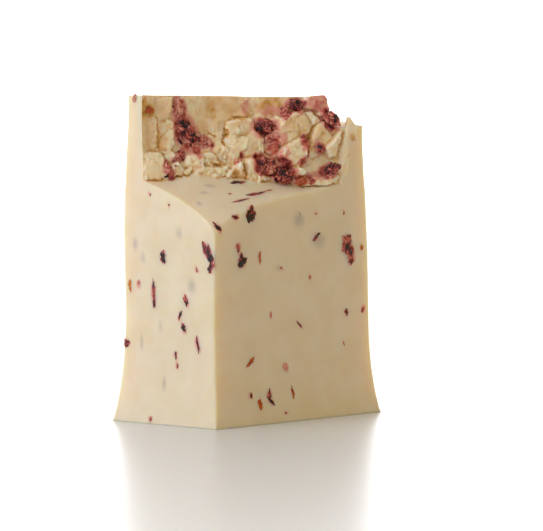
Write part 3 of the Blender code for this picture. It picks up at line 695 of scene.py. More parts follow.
def soften_edges(target, rounds=4, limit=30):
    """Rounds the sharp edges of a finely gridded mesh, as soft cheese has them."""
    mesh = bmesh.new()
    mesh.from_mesh(target.data)
    sharp = {
        vertex
        for edge in mesh.edges
        if len(edge.link_faces) == 2 and edge.calc_face_angle(0) > math.radians(limit)
        for vertex in edge.verts
        if not all(face.material_index for face in vertex.link_faces)
    }
    near = sharp | {edge.other_vert(vertex) for vertex in sharp for edge in vertex.link_edges}
    near = [vertex for vertex in near if vertex.co.z > 0.4 * MM]
    for _ in range(rounds):
        bmesh.ops.smooth_vert(
            mesh, verts=near, factor=0.5, use_axis_x=True, use_axis_y=True, use_axis_z=True
        )
    mesh.to_mesh(target.data)
    mesh.free()


def hull_of(mesh):
    """Wraps a mesh's vertices in their convex hull."""
    bmesh.ops.convex_hull(mesh, input=list(mesh.verts))
    inner = [vertex for vertex in mesh.verts if not vertex.link_faces]
    bmesh.ops.delete(mesh, geom=inner, context="VERTS")
    bmesh.ops.recalc_face_normals(mesh, faces=list(mesh.faces))
    return mesh


def curd_mesh(out, lean_along, lean_up, outline, seed):
    """A blunt piece of curd: the hull of its outline behind the face, at its waist and in front."""
    draw = random.Random(seed)
    middle = sum((Vector(point) for point in outline), Vector((0, 0))) / len(outline)
    face = whole_wall_inward(middle.x * MM, middle.y * MM)
    mesh = bmesh.new()
    for point in outline:
        ragged = Vector([draw.uniform(-CURD_RAGGED, CURD_RAGGED) for _ in range(2)])
        offset = Vector(point) - middle + ragged
        rings = (
            (CURD_TAPER, -CURD_ROOT - draw.uniform(0, CURD_UNEVEN)),
            (1.0, CURD_WAIST * out),
            (CURD_FRONT, out + draw.uniform(-CURD_UNEVEN, CURD_UNEVEN)),
        )
        for scale, level in rings:
            along, height = middle + offset * scale
            if level > 0:
                level += lean_along * offset.x + lean_up * offset.y
            mesh.verts.new(break_point(along * MM, face - level * MM, height * MM))
    return hull_of(mesh)


def lump_mesh(radii, seed):
    """A blunt many-sided crumb: the hull of an icosphere's jittered points."""
    draw = random.Random(seed)
    mesh = bmesh.new()
    bmesh.ops.create_icosphere(mesh, subdivisions=2, radius=1)
    for vertex in mesh.verts:
        blunt = [math.copysign(abs(value) ** 0.6, value) for value in vertex.co]
        vertex.co = Vector(blunt) * draw.uniform(0.62, 1.06)
    bmesh.ops.delete(mesh, geom=list(mesh.edges), context="EDGES_FACES")
    hull_of(mesh)
    bmesh.ops.scale(mesh, vec=Vector(radii), verts=list(mesh.verts))
    return mesh


def add_part(target, part, place):
    """Adds a small mesh at a place into a bigger one."""
    part.transform(place)
    holder = bpy.data.meshes.new("part")
    part.to_mesh(holder)
    part.free()
    target.from_mesh(holder)
    bpy.data.meshes.remove(holder)


def add_crumbs(mesh):
    """The solids' crumbs along the foot of the rough face, and many finer ones."""
    draw = random.Random(7)
    for index in range(CRUMB_COUNT):
        size = draw.uniform(*CRUMB_SIZE)
        share = (index + 0.5) / CRUMB_COUNT
        along = CRUMB_ROW[0] + (CRUMB_ROW[1] - CRUMB_ROW[0]) * share
        z = ledge_height(along, WALL_FOOT_IN) + draw.uniform(*CRUMB_RISE)
        radii = (size * draw.uniform(0.9, 1.5), size, size * draw.uniform(0.7, 1.0))
        place = wall_placing(along, z, size * 0.5, draw.uniform(-60, 60))
        add_part(mesh, lump_mesh(radii, 300 + index), place)
    for index in range(FINE_CRUMB_COUNT):
        size = draw.uniform(*FINE_CRUMB_SIZE)
        along, z, spread_along, spread_up, out = draw.choice(CRUMBLY)
        along = (along + draw.gauss(0, 0.5) * spread_along) * MM
        z = (z + draw.gauss(0, 0.5) * spread_up) * MM
        radii = (size * draw.uniform(0.8, 1.4), size, size)
        proud = (out + draw.uniform(-0.8, 0.2)) * MM
        place = wall_placing(along, z, proud, draw.uniform(-80, 80))
        add_part(mesh, lump_mesh(radii, 600 + index), place)


def neighbours(field, reach, pick):
    """The greatest or least value within so many grid steps, or another pick of them."""
    shifts = [
        (i, j)
        for i in range(-reach, reach + 1)
        for j in range(-reach, reach + 1)
        if i * i + j * j <= reach * reach
    ]
    return pick([np.roll(field, shift, axis=(0, 1)) for shift in shifts], axis=0)


def make_relief():
    """How far curds and crumbs stand out of the face, on a grid, with the gaps between them closed."""
    mesh = bmesh.new()
    for index, (name, curd) in enumerate(CURDS.items()):
        if name not in STANDING:
            add_part(mesh, curd_mesh(*curd, 100 + index), Matrix.Identity(4))
    add_crumbs(mesh)
    forms = BVHTree.FromBMesh(mesh)
    mesh.free()
    alongs = np.arange(RELIEF_LOW[0], RELIEF_HIGH[0], RELIEF_STEP)
    levels = np.arange(RELIEF_LOW[1], RELIEF_HIGH[1], RELIEF_STEP)
    relief = np.zeros((len(alongs), len(levels)))
    for i, along in enumerate(alongs):
        for j, z in enumerate(levels):
            hit, _, _, distance = forms.ray_cast(break_point(along, 0, z), INWARD)
            if hit is not None:
                relief[i, j] = max(0.0, whole_wall_inward(along, z) - distance)
    closed = neighbours(neighbours(relief, GAP_STEPS, np.max), GAP_STEPS, np.min)
    return relief + (closed - relief) * GAP_FILLING


def relief_at(relief, along, z):
    """The relief at a place between the grid's points."""
    u = min(max((along - RELIEF_LOW[0]) / RELIEF_STEP, 0.0), relief.shape[0] - 1.001)
    v = min(max((z - RELIEF_LOW[1]) / RELIEF_STEP, 0.0), relief.shape[1] - 1.001)
    i, j = int(u), int(v)
    u, v = u - i, v - j
    low = relief[i, j] * (1 - u) + relief[i + 1, j] * u
    high = relief[i, j + 1] * (1 - u) + relief[i + 1, j + 1] * u
    return low * (1 - v) + high * v


def within(along, z, middle_along, middle_z, half_along, half_z, turn=0.0):
    """A place's distance from an ellipse's middle, as a share of the way to its edge; all in mm."""
    slant = math.radians(turn)
    across, up = along - middle_along, z - middle_z
    far_across = across * math.cos(slant) - up * math.sin(slant)
    far_up = across * math.sin(slant) + up * math.cos(slant)
    return math.hypot(far_across / half_along, far_up / half_z)


def facets(place, size, tilt):
    """Flat facets at all angles with small steps between them, as broken curd has; in millimetres."""
    centre = noise.voronoi(place / size)[1][0]
    slope = noise.cell_vector(centre * 37.3) * 2 - Vector((1, 1, 1))
    return (place / MM - centre * (size / MM)).dot(slope) * tilt


def broken_relief(place, along, z):
    """The fine relief of the break at a place of the rough face, in millimetres."""
    calm = max(1 - within(along / MM, z / MM, *patch) ** 4 for patch in CALM)
    rough = 1 - CALM_SHARE * min(max(calm, 0.0), 1.0)
    crumbs = max(
        1 - within(along / MM, z / MM, *patch[:2], *(1.6 * half for half in patch[2:4]))
        for patch in CRUMBLY
    )
    crumbs = min(max(crumbs * 2, 0.0), 1.0)
    soft = SOFT_RELIEF[1] * noise.noise(place / SOFT_RELIEF[0])
    large = facets(place, *LARGE_FACETS)
    small = facets(place, *SMALL_FACETS)
    line = abs(noise.noise(place / CRACKS[0] + Vector((4, 0, 0))))
    crack = -CRACKS[1] * max(0.0, 1 - 8 * line)
    fine = FINE_GRAIN[1] * noise.noise(place / FINE_GRAIN[0])
    return soft * (0.4 + 0.6 * rough) + (large + small * (1 + 2 * crumbs) + crack + fine) * rough


def face_inward(relief, along, level, z):
    """How far in the broken surface lies, with its curds, crumbs and fine relief."""
    inward = wall_inward(along, level)
    if inward > WALL_MIDDLE_IN + 8 * MM:
        return inward
    shift = wander(Vector((along, 0, z)), CURD_WANDER)
    inward -= relief_at(relief, along + shift.x, z + shift.z)
    return inward - broken_relief(break_point(along, inward, z), along, z) * MM


def make_standing_curd(name):
    """A curd that rises past the block's own top, as a fine mesh with the same broken relief."""
    index = list(CURDS).index(name)
    curd = add_object(name, curd_mesh(*CURDS[name], 100 + index))
    remesh = curd.modifiers.new("fine", "REMESH")
    remesh.mode = "VOXEL"
    remesh.voxel_size = STANDING_GRID
    apply_modifiers(curd)
    moves = []
    for vertex in curd.data.vertices:
        along, _, z = break_place(vertex.co)
        moves.append(vertex.normal * (broken_relief(vertex.co, along, z) * 0.7 - 0.15) * MM)
    for vertex, move in zip(curd.data.vertices, moves):
        vertex.co += move
    curd.data.polygons.foreach_set("material_index", np.ones(len(curd.data.polygons), dtype=np.int32))
    return curd


def smoothed(points, edges, rounds):
    """Each point's place after so many rounds of averaging with its neighbours."""
    counts = np.zeros(len(points))
    np.add.at(counts, edges[:, 0], 1)
    np.add.at(counts, edges[:, 1], 1)
    counts = np.maximum(counts, 1)[:, None]
    current = points.copy()
    for _ in range(rounds):
        total = np.zeros_like(current)
        for axis in range(3):
            total[:, axis] += np.bincount(edges[:, 0], current[edges[:, 1], axis], len(points))
            total[:, axis] += np.bincount(edges[:, 1], current[edges[:, 0], axis], len(points))
        current = 0.5 * current + 0.5 * total / counts
    return current


def read_points(data):
    points = np.empty(len(data.vertices) * 3)
    data.vertices.foreach_get("co", points)
    return points.reshape(-1, 3)


def hollowness(data, rounds):
    """How far each vertex lies in a crevice, positive, or on a ridge, negative, in metres."""
    points = read_points(data)
    edges = np.empty(len(data.edges) * 2, dtype=np.int64)
    data.edges.foreach_get("vertices", edges)
    normals = np.empty(len(data.vertices) * 3, dtype=np.float32)
    data.vertex_normals.foreach_get("vector", normals)
    shift = smoothed(points, edges.reshape(-1, 2), rounds) - points
    return (shift * normals.reshape(-1, 3)).sum(axis=1)


def set_values(data, name, values):
    made = data.attributes.new(name, "FLOAT", "POINT")
    made.data.foreach_set("value", np.asarray(values, dtype=np.float32))


def make_cheese():
    """The block with its corner broken away, as one closed mesh; its broken faces have slot 1."""
    marks = [bpy.data.materials.new(name) for name in ("smooth mark", "rough mark")]
    cheese = make_block()
    cutter = make_break_cutter(make_relief())
    standing = [make_standing_curd(name) for name in STANDING]
    for piece in (cheese, cutter, *standing):
        for mark in marks:
            piece.data.materials.append(mark)
    boolean(cheese, "DIFFERENCE", cutter)
    soften_edges(cheese)
    for curd in standing:
        boolean(cheese, "UNION", curd)
    cheese.name = "cheddar"
    return cheese


def groove(place):
    """1 along winding lines, falling to 0 beside them."""
    return (1 - min(1.0, 3.0 * abs(noise.noise(place)))) ** 2


def berry_mesh(radii, seed, rounds):
    """A wrinkled dried berry, of the same form as its solid, with folds and small creases."""
    mesh = bmesh.new()
    bmesh.ops.create_icosphere(mesh, subdivisions=rounds, radius=1)
    shift = Vector((seed * 3.1, 0, 0))
    for vertex in mesh.verts:
        way = vertex.co.normalized()
        fold = BERRY_FOLD[0] * noise.noise(way * BERRY_FOLD[1] + shift)
        wrinkle = BERRY_WRINKLE[0] * abs(noise.noise(way * BERRY_WRINKLE[1] + shift))
        crease = BERRY_CREASE[0] * groove(way * BERRY_CREASE[1] - shift)
        fine = BERRY_FINE_CREASE[0] * groove(way * BERRY_FINE_CREASE[1] + shift)
        vertex.co = way * (0.98 + fold - wrinkle - crease - fine)
    bmesh.ops.scale(mesh, vec=Vector(radii), verts=list(mesh.verts))
    return mesh


def finish_fruit(made, kind, fold):
    made.data.shade_smooth()
    set_values(made.data, "fold", fold)
    made.data.materials.append(fruit_material(kind))
    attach(made, "root")


def make_berries(tree):
    """The berries in the rough face. They are torn thin, so paler, where they meet the curd."""
    made = []
    for index, (node, kind, along, z, out, wide, tall, deep, turn) in enumerate(CRANBERRIES):
        big = wide * tall > BIG_BERRY
        mesh = berry_mesh((wide * MM, deep * MM, tall * MM), index, 5 if big else 4)
        mesh.transform(wall_placing(along * MM, z * MM, out * MM, turn))
        berry = add_object(node.replace("cranberry", "berry").replace("amber_berry", "amber"), mesh)
        fold = np.clip(hollowness(berry.data, 12) / BERRY_FOLD_DEPTH, -1, 1)
        torn = []
        for vertex in berry.data.vertices:
            _, _, _, distance = tree.find_nearest(vertex.co)
            ragged = TORN_RAGGED * noise.noise(vertex.co / TORN_GRAIN) * MM
            torn.append(1 - smooth_step(distance + ragged, *TORN_REACH))
        set_values(berry.data, "torn", torn)
        finish_fruit(berry, kind, fold)
        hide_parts(node)
        made.append(berry)
    return made


def tree_of(target):
    return BVHTree.FromObject(target, bpy.context.evaluated_depsgraph_get())


def side_ray(side, away, height):
    """A start outside the block and a way in, to find the surface at a place on a side."""
    z = height * MM
    if side == "left":
        return Vector((-0.1, CORNER.y + away * MM, z)), Vector((1, 0, 0))
    if side == "front":
        return Vector((CORNER.x + away * MM, -0.1, z)), Vector((0, 1, 0))
    if side == "back":
        return Vector((CORNER.x + away * MM, 0.1, z)), Vector((0, -1, 0))
    if side == "right":
        return Vector((0.1, CORNER.y + away * MM, z)), Vector((-1, 0, 0))
    if side == "top":
        return Vector((away * MM, height * MM, 0.3)), Vector((0, 0, -1))
    return break_point(away * MM, height * MM, 0.3), Vector((0, 0, -1))


def surface_placing(tree, side, away, height, turn, sink):
    """Local X across, local Y up the side, local Z out of it."""
    start, way = side_ray(side, away, height)
    hit, normal, _, _ = tree.ray_cast(start, way)
    if hit is None:
        return None
    if side == "ledge":
        across, up = ALONG, INWARD
    elif side == "top":
        across, up = Vector((1, 0, 0)), Vector((0, 1, 0))
    else:
        up = Vector((0, 0, 1))
        across = up.cross(-way)
    across = (across - normal * across.dot(normal)).normalized()
    up = normal.cross(across)
    basis = Matrix((across, up, normal)).transposed().to_4x4()
    place = Matrix.Translation(hit - normal * sink)
    return place @ basis @ Matrix.Rotation(math.radians(turn), 4, "Z")


def slice_mesh(wide, tall, seed):
    """A ragged flat piece of fruit, cut flush: an uneven outline with a low crinkled face."""
    mesh = bmesh.new()
    bmesh.ops.create_icosphere(mesh, subdivisions=4, radius=1)
    shift = Vector((seed * 5.3, 1.7, 0))
    for vertex in mesh.verts:
        x, y, z = vertex.co
        ring = Vector((x, y, 0))
        angle = ring.normalized() if ring.length > 0.001 else Vector((1, 0, 0))
        outline = 1.15 + 0.75 * noise.noise(angle * 1.1 + shift)
        outline = max(outline + 0.45 * noise.noise(angle * 2.2 - shift), 0.35)
        crinkle = 1 + 0.4 * noise.noise(Vector((x * 2.5, y * 2.5, seed)))
        flat = math.copysign(abs(z) ** 0.5, z)
        vertex.co = (x * wide * outline, y * tall * outline, flat * CUT_THICKNESS * crinkle)
    return mesh


def hold_in(mesh, proud):
    """Folds what reaches past the block's sides round its edges, and keeps it off the floor."""
    for vertex in mesh.verts:
        x, y, z = vertex.co
        z = max(z, proud)
        x = min(max(x, left(z) - proud), right(z) + proud)
        y = min(max(y, front(z) - proud), back(z) + proud)
        vertex.co = (x, y, z)


def make_slices(tree):
    """All the cut fruit in the sides, the shoulder and the top, one piece for each kind."""
    bits = [("left", *bit) for bit in LEFT_BITS]
    bits += [("front", *bit) for bit in FRONT_BITS]
    bits += [("ledge", *bit) for bit in LEDGE_BITS]
    draw = random.Random(21)
    for side, count, away_range, height_range in UNSEEN:
        for _ in range(count):
            kind = draw.choice(("dark", "dark", "dark", "red", "red", "amber", "pink"))
            long_side = draw.uniform(0.6, 3.6)
            short_side = min(long_side, draw.uniform(0.4, 1.6))
            away = draw.uniform(*away_range)
            height = draw.uniform(*height_range)
            bits.append((side, kind, away, height, short_side, long_side, draw.uniform(-50, 50)))
    kinds = {}
    places = []
    for index, (side, kind, away, height, wide, tall, turn) in enumerate(bits):
        place = surface_placing(tree, side, away, height, turn, CUT_SINK)
        if place is None:
            continue
        holder = kinds.setdefault(kind, bmesh.new())
        cut = slice_mesh(wide * MM, tall * MM, index)
        cut.transform(place)
        hold_in(cut, CUT_PROUD)
        add_part(holder, cut, Matrix.Identity(4))
        places.append((kind, place, wide * MM, tall * MM))
    for kind, mesh in kinds.items():
        made = add_object(f"cut_fruit_{kind}", mesh)
        fold = np.clip(hollowness(made.data, 8) / CUT_FOLD_DEPTH, -1, 1)
        finish_fruit(made, kind, fold)
    return places


def make_pulp(tree, berries):
    """Torn scraps of fruit on the curd around the berries."""
    draw = random.Random(5)
    scraps = {"red": bmesh.new(), "pink": bmesh.new()}
    seed = 900
    for berry in berries:
        if berry.name.startswith("amber") or berry.name == "berry_corner":
            continue
        points = read_points(berry.data)
        low, high = points.min(axis=0), points.max(axis=0)
        count = round(4 + SCRAPS_PER_METRE * float((high - low).max()))
        for _ in range(count):
            seed += 1
            origin = Vector([float(value) for value in points[draw.randrange(len(points))]])
            spread = Vector([draw.gauss(0, 1) for _ in range(3)]) * SCRAP_SPREAD * MM
            start = origin + spread - INWARD * SCRAP_START * MM
            hit, normal, _, _ = tree.ray_cast(start, INWARD)
            if hit is None or (hit - origin).length > SCRAP_REACH:
                continue
            kind = draw.choice(("red", "pink", "pink"))
            size = draw.uniform(*SCRAP_SIZE) * MM
            across = normal.orthogonal().normalized()
            basis = Matrix((across, normal.cross(across), normal)).transposed().to_4x4()
            turn = Matrix.Rotation(draw.uniform(0, math.tau), 4, "Z")
            part = bmesh.new()
            bmesh.ops.create_icosphere(part, subdivisions=2, radius=1)
            for vertex in part.verts:
                vertex.co *= 1 + 0.6 * noise.noise(vertex.co * 1.6 + Vector((seed, 0, 0)))
            stretch = Vector(
                (size * draw.uniform(0.8, 1.6), size * draw.uniform(0.5, 0.9), size * SCRAP_FLATNESS)
            )
            bmesh.ops.scale(part, vec=stretch, verts=list(part.verts))
            add_part(scraps[kind], part, Matrix.Translation(hit) @ basis @ turn)
    for kind, mesh in scraps.items():
        made = add_object(f"torn_fruit_{kind}", mesh)
        finish_fruit(made, kind, np.zeros(len(made.data.vertices)))


class Nodes:
    """Short ways to build a node tree."""

    def __init__(self, tree):
        self.tree = tree

    def node(self, kind, **settings):
        made = self.tree.nodes.new(kind)
        for key, value in settings.items():
            setattr(made, key, value)
        return made

    def link(self, output, socket):
        self.tree.links.new(output, socket)

    def level(self, value, low, high, to_low=0.0, to_high=1.0, kind="LINEAR"):
        made = self.node("ShaderNodeMapRange", interpolation_type=kind)
        made.inputs["From Min"].default_value = low
        made.inputs["From Max"].default_value = high
        made.inputs["To Min"].default_value = to_low
        made.inputs["To Max"].default_value = to_high
        self.link(value, made.inputs["Value"])
        return made.outputs["Result"]

    def math(self, operation, first, second):
        made = self.node("ShaderNodeMath", operation=operation)
        for socket, value in zip(made.inputs, (first, second)):
            if isinstance(value, (int, float)):
                socket.default_value = value
            else:
                self.link(value, socket)
        return made.outputs["Value"]

    def mix(self, share, first, second):
        made = self.node("ShaderNodeMix", data_type="RGBA")
        sockets = (made.inputs[0], made.inputs[6], made.inputs[7])
        for socket, value in zip(sockets, (share, first, second)):
            if isinstance(value, (int, float)):
                socket.default_value = value
            elif isinstance(value, tuple):
                socket.default_value = (*value, 1)
            else:
                self.link(value, socket)
        return made.outputs[2]


class Shader(Nodes):
    """One material's nodes, measured in the object's own space."""

    def __init__(self, name):
        self.material = bpy.data.materials.new(name)
        self.material.use_nodes = True
        super().__init__(self.material.node_tree)
        self.surface = self.tree.nodes["Principled BSDF"]
        self.place = self.node("ShaderNodeTexCoord").outputs["Object"]

    def noise(self, size, detail=3.0, roughness=0.5, stretch=(1, 1, 1)):
        """Noise whose features are about so many metres."""
        made = self.node("ShaderNodeTexNoise")
        made.inputs["Scale"].default_value = 1 / size
        made.inputs["Detail"].default_value = detail
        made.inputs["Roughness"].default_value = roughness
        mapping = self.node("ShaderNodeMapping")
        mapping.inputs["Scale"].default_value = stretch
        self.link(self.place, mapping.inputs["Vector"])
        self.link(mapping.outputs["Vector"], made.inputs["Vector"])
        return made.outputs["Fac"]

    def ramp(self, value, stops):
        made = self.node("ShaderNodeValToRGB")
        elements = made.color_ramp.elements
        while len(elements) < len(stops):
            elements.new(0.5)
        for element, (position, colour) in zip(elements, stops):
            element.position = position
            element.color = (*colour, 1)
        self.link(value, made.inputs["Fac"])
        return made.outputs["Color"]

    def height(self):
        made = self.node("ShaderNodeSeparateXYZ")
        self.link(self.place, made.inputs["Vector"])
        return made.outputs["Z"]

    def attribute(self, name):
        made = self.node("ShaderNodeAttribute", attribute_name=name)
        return made.outputs["Fac"]

    def bump(self, height, distance, strength=1.0):
        made = self.node("ShaderNodeBump")
        made.inputs["Distance"].default_value = distance
        made.inputs["Strength"].default_value = strength
        self.link(height, made.inputs["Height"])
        self.link(made.outputs["Normal"], self.surface.inputs["Normal"])


def cheese_material():
    shader = Shader("cheese")
    rough = shader.attribute("rough")
    mottle = shader.level(shader.noise(11 * MM, 3), 0.35, 0.65)
    smooth_colour = shader.mix(mottle, CREAM, CREAM_DEEP)
    curd_colour = shader.mix(shader.level(shader.noise(4 * MM, 4), 0.35, 0.7), CURD, CURD_PALE)
    # A painted highlight on the ridges of the rough face.
    curd_colour = shader.mix(shader.attribute("edge"), curd_colour, PAINTED_CURD_HIGHLIGHT)
    colour = shader.mix(rough, smooth_colour, curd_colour)
    colour = shader.mix(shader.attribute("sunken"), colour, SUNKEN_TINT)
    # Painted light: an amber glow, turning to darker painted shade in the deepest cracks.
    painted_glow_shade = shader.level(shader.attribute("painted_glow_shade"), 0.0, 0.65)
    colour = shader.mix(painted_glow_shade, colour, PAINTED_AMBER_GLOW)
    colour = shader.mix(shader.level(shader.attribute("painted_glow_shade"), 0.65, 1.1), colour, PAINTED_CRACK_SHADE)
    stain = shader.attribute("stain")
    patchy = shader.level(shader.noise(3.0 * MM, 3, 0.5), 0.32, 0.68, 0.50, 1.25)
    streaks = shader.level(shader.noise(1.2 * MM, 2, 0.5), 0.25, 0.75, 0.85, 1.15)
    juice = shader.math("MULTIPLY", stain, shader.math("MULTIPLY", patchy, streaks))
    colour = shader.mix(shader.level(juice, 0.08, 0.28), colour, BLUSH)
    colour = shader.mix(shader.level(juice, 0.36, 0.60), colour, ROSE)
    colour = shader.mix(shader.level(juice, 0.66, 0.86), colour, CRIMSON)
    colour = shader.mix(shader.level(juice, 0.94, 1.15), colour, PURPLE)
    shader.link(colour, shader.surface.inputs["Base Color"])
    gloss = shader.level(shader.noise(3 * MM, 4), 0.3, 0.7, 0.36, 0.5)
    gloss = shader.math("ADD", gloss, shader.math("MULTIPLY", rough, 0.06))
    gloss = shader.math("SUBTRACT", gloss, shader.math("MULTIPLY", stain, 0.15))
    shader.link(gloss, shader.surface.inputs["Roughness"])
    shader.surface.inputs["Subsurface Weight"].default_value = 1.0
    shader.surface.inputs["Subsurface Radius"].default_value = (1.0, 0.66, 0.32)
    depth = shader.level(rough, 0.0, 1.0, SCATTER_SMOOTH, SCATTER_ROUGH)
    near_foot = shader.level(shader.height(), 0.0, SCATTER_FOOT, 0.1, 1.0)
    shader.link(shader.math("MULTIPLY", depth, near_foot), shader.surface.inputs["Subsurface Scale"])
    shader.surface.inputs["IOR"].default_value = 1.45
    grain = shader.math("MULTIPLY", shader.noise(0.7 * MM, 4), rough)
    torn = shader.math("MULTIPLY", stain, 2.2)
    torn = shader.math("MULTIPLY", shader.noise(0.9 * MM, 4, 0.65), torn)
    skin = shader.math("MULTIPLY", shader.noise(2.2 * MM, 5, stretch=(1, 1, 0.35)), 0.4)
    shader.bump(shader.math("ADD", shader.math("ADD", grain, skin), torn), 0.25 * MM, 0.6)
    return shader.material


def fruit_material(kind):
    """Moist dried fruit: dark inside, with painted shade darker in its creases and redder on its ridges,
    and pale where it is torn thin.
    """
    if f"fruit_{kind}" in bpy.data.materials:
        return bpy.data.materials[f"fruit_{kind}"]
    stops = {
        "dark": ((0.42, FRUIT_BLACK), (0.49, PURPLE), (0.57, CRIMSON), (0.67, ROSE), (0.80, BLUSH)),
        "red": ((0.36, FRUIT_BLACK), (0.42, PURPLE), (0.48, CRIMSON), (0.58, ROSE), (0.72, BLUSH)),
        "pink": ((0.28, CRIMSON), (0.42, ROSE), (0.56, BLUSH)),
        "amber": ((0.28, CRIMSON), (0.40, FRUIT_AMBER), (0.62, FRUIT_ORANGE)),
        "gold": ((0.36, FRUIT_ORANGE), (0.60, FRUIT_GOLD)),
        "green": ((0.40, HERB_GREEN), (0.70, CREAM_DEEP)),
    }[kind]
    shader = Shader(f"fruit_{kind}")
    fold = shader.attribute("fold")
    broad = shader.noise(4.0 * MM, 2, 0.5)
    fine = shader.noise(1.8 * MM, 1, 0.5)
    value = shader.math("ADD", shader.math("MULTIPLY", broad, 0.6), shader.math("MULTIPLY", fine, 0.4))
    # Painted shade: the fruit darkens in its creases and turns redder on its ridges.
    value = shader.math("SUBTRACT", value, shader.math("MULTIPLY", fold, 0.10))
    value = shader.math("ADD", value, shader.math("MULTIPLY", shader.attribute("torn"), 0.20))
    colour = shader.ramp(value, stops)
    shader.link(colour, shader.surface.inputs["Base Color"])
    gloss = shader.level(shader.noise(1.6 * MM, 3), 0.3, 0.7, 0.14, 0.34)
    shader.link(gloss, shader.surface.inputs["Roughness"])
    shader.surface.inputs["Subsurface Weight"].default_value = 0.15
    shader.surface.inputs["Subsurface Radius"].default_value = (1.0, 0.15, 0.12)
    shader.surface.inputs["Subsurface Scale"].default_value = 0.6 * MM
    shader.bump(shader.noise(2.4 * MM, 2, 0.5), 0.25 * MM, 0.6)
    return shader.material


def berry_tree_of(berries):
    mesh = bmesh.new()
    for berry in berries:
        if not berry.name.startswith("amber"):
            mesh.from_mesh(berry.data)
    tree = BVHTree.FromBMesh(mesh)
    mesh.free()
    return tree


def patches(along, z, places):
    """The strongest of some soft-edged patches at a place; all in mm."""
    strongest = 0.0
    for *patch, strength in places:
        far = within(along, z, *patch)
        if far < 1.25:
            strongest = max(strongest, strength * smooth_step(far, 1.25, 0.45))
    return strongest


def dress_cheese(cheese, berries, slices):
    """Where the cheese is rough, stained by fruit, shows sunken fruit, has painted glow and shade, or a
    painted highlight, point by point.
    """
    data = cheese.data
    points = read_points(data)
    count = len(points)
    rough = np.zeros(count)
    for polygon in data.polygons:
        if polygon.material_index == 1:
            rough[list(polygon.vertices)] = 1.0
    berry_tree = berry_tree_of(berries)
    hollow = np.clip(hollowness(data, 10) / FULL_HOLLOW, -1, 1)
    stain = np.zeros(count)
    painted_glow_shade = np.zeros(count)
    # A painted highlight on the ridges of the rough face, where the surface bulges out.
    edge = np.clip(-0.7 * hollow - 0.12, 0, 1) * rough
    sunken = np.zeros(count)
    cuts = [
        (place.inverted(), wide, tall)
        for kind, place, wide, tall in slices
        if kind in ("dark", "red", "pink")
    ]
    surface = tree_of(cheese)
    spots = []
    for side, away, height, wide, tall in SUNKEN:
        place = surface_placing(surface, side, away, height, 0, 0.0)
        if place is not None:
            spots.append((place.inverted(), wide * MM, tall * MM))
    for index in range(count):
        place = Vector(points[index])
        along, inward, z = break_place(place)
        behind = inward - whole_wall_inward(along, z)
        if rough[index] or (z > WALL_FOOT_HEIGHT - 7 * MM and abs(behind) < STAIN_DEPTH[0]):
            drift = wander(place, STAIN_WANDER) / MM
            flat = (along / MM + drift.x, z / MM + drift.z)
            stain[index] = patches(*flat, STAINS) * (1 - smooth_step(behind, *STAIN_DEPTH))
            _, _, _, distance = berry_tree.find_nearest(place)
            reach = JUICE_REACH * (1 + noise.noise(place / JUICE_GRAIN))
            if distance < reach:
                juice = JUICE_STRENGTH * smooth_step(distance, reach, 0.0)
                stain[index] = max(stain[index], juice)
        if rough[index]:
            # Painted glow and shade: the listed patches, plus painted shade in the hollows of the rough
            # face.
            painted_glow_shade[index] = patches(*flat, PAINTED_GLOW_AND_SHADE) * (1.0 + 0.5 * drift.y)
            painted_glow_shade[index] += 0.6 * max(0.0, hollow[index])
            continue
        for inverse, wide, tall in cuts:
            local = inverse @ place
            if abs(local.z) < NEAR_SURFACE:
                far = math.hypot(local.x / (wide + CUT_JUICE), local.y / (tall + CUT_JUICE))
                juice = CUT_JUICE_STRENGTH * smooth_step(far, 1.2, 0.6)
                stain[index] = max(stain[index], juice)
        for inverse, wide, tall in spots:
            local = inverse @ place
            if abs(local.z) < NEAR_SURFACE:
                far = math.hypot(local.x / wide, local.y / tall)
                shown = SUNKEN_STRENGTH * smooth_step(far, 1.5, 0.2)
                sunken[index] = max(sunken[index], shown)
    set_values(data, "rough", rough)
    set_values(data, "stain", np.clip(stain, 0, 1))
    set_values(data, "painted_glow_shade", np.clip(painted_glow_shade, 0, 1.1))
    set_values(data, "sunken", sunken)
    set_values(data, "edge", edge)
    data.materials.clear()
    data.materials.append(cheese_material())
    data.polygons.foreach_set("material_index", np.zeros(len(data.polygons), dtype=np.int32))
    data.shade_smooth()


def make_floor():
    mesh = bmesh.new()
    bmesh.ops.create_circle(mesh, cap_ends=True, segments=96, radius=FLOOR_RADIUS)
    floor = add_object("floor", mesh)
    shader = Shader("floor")
    shader.surface.inputs["Base Color"].default_value = (*FLOOR_COLOUR, 1)
    shader.surface.inputs["Roughness"].default_value = FLOOR_ROUGHNESS
    shader.surface.inputs["IOR"].default_value = 1.5
    floor.data.materials.append(shader.material)


def heading_way(pitch):
    """The camera's way ahead, tilted down by so many degrees."""
    heading, pitch = math.radians(CAMERA_HEADING), math.radians(pitch)
    level = math.cos(pitch)
    return Vector((math.sin(heading) * level, math.cos(heading) * level, -math.sin(pitch)))


def aimed(place, way):
    """A camera's or a light's placing: at a place, looking one way."""
    turn = way.to_track_quat("-Z", "Y").to_matrix().to_4x4()
    return Matrix.Translation(place) @ turn


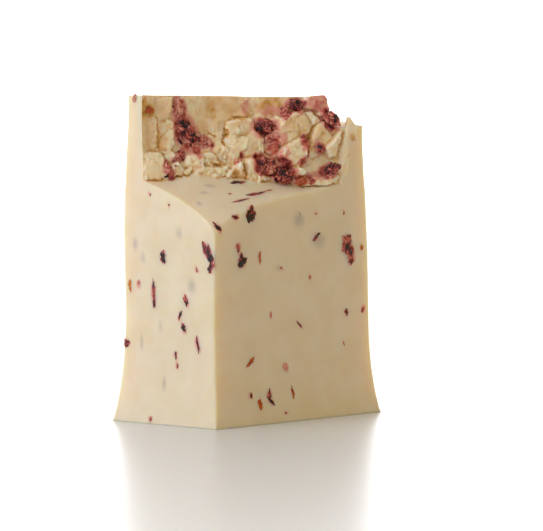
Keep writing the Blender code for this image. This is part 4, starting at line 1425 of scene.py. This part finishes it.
def make_world():
    """A soft studio round the block, and a bright backdrop behind it."""
    world = bpy.data.worlds.new("studio")
    world.use_nodes = True
    nodes = Nodes(world.node_tree)
    way = nodes.node("ShaderNodeTexCoord").outputs["Generated"]

    def toward(direction, low, high):
        """Rises from 0 to 1 as the view turns towards a direction."""
        dot = nodes.node("ShaderNodeVectorMath", operation="DOT_PRODUCT")
        dot.inputs[1].default_value = direction
        nodes.link(way, dot.inputs[0])
        return nodes.level(dot.outputs["Value"], low, high, kind="SMOOTHSTEP")

    colour = nodes.mix(toward(LIGHT_FROM, *TURN_TO_WHITE), STUDIO_WARM, STUDIO_WHITE)
    colour = nodes.mix(toward((0, 0, 1), *TURN_TO_TOP), colour, STUDIO_TOP)
    backdrop = toward(heading_way(0.0), *TURN_TO_BACKDROP)
    colour = nodes.mix(backdrop, colour, (BACKDROP, BACKDROP, BACKDROP))
    background = world.node_tree.nodes["Background"]
    nodes.link(colour, background.inputs["Color"])
    background.inputs["Strength"].default_value = 1.0
    bpy.context.scene.world = world


def add_light(name, place, target, size, power):
    data = bpy.data.lights.new(name, "AREA")
    data.shape = "RECTANGLE"
    data.size, data.size_y = size
    data.energy = power
    made = bpy.data.objects.new(name, data)
    made.matrix_world = aimed(place, Vector(target) - Vector(place))
    bpy.context.scene.collection.objects.link(made)


def make_camera():
    data = bpy.data.cameras.new("camera")
    data.lens = CAMERA_LENS
    data.sensor_width = 36.0
    data.clip_end = 100
    camera = bpy.data.objects.new("camera", data)
    camera.matrix_world = aimed(CAMERA_AT, heading_way(CAMERA_PITCH))
    bpy.context.scene.collection.objects.link(camera)
    bpy.context.scene.camera = camera


def make_scene():
    bpy.context.scene.view_settings.view_transform = "Standard"
    make_camera()
    make_world()
    make_floor()
    add_light("key", KEY_AT, KEY_TARGET, KEY_SIZE, KEY_POWER)
    cheese = make_cheese()
    tree = tree_of(cheese)
    berries = make_berries(tree)
    slices = make_slices(tree)
    make_pulp(tree, berries)
    dress_cheese(cheese, berries, slices)
    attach(cheese, "root")
    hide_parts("cheese")


make_scene()
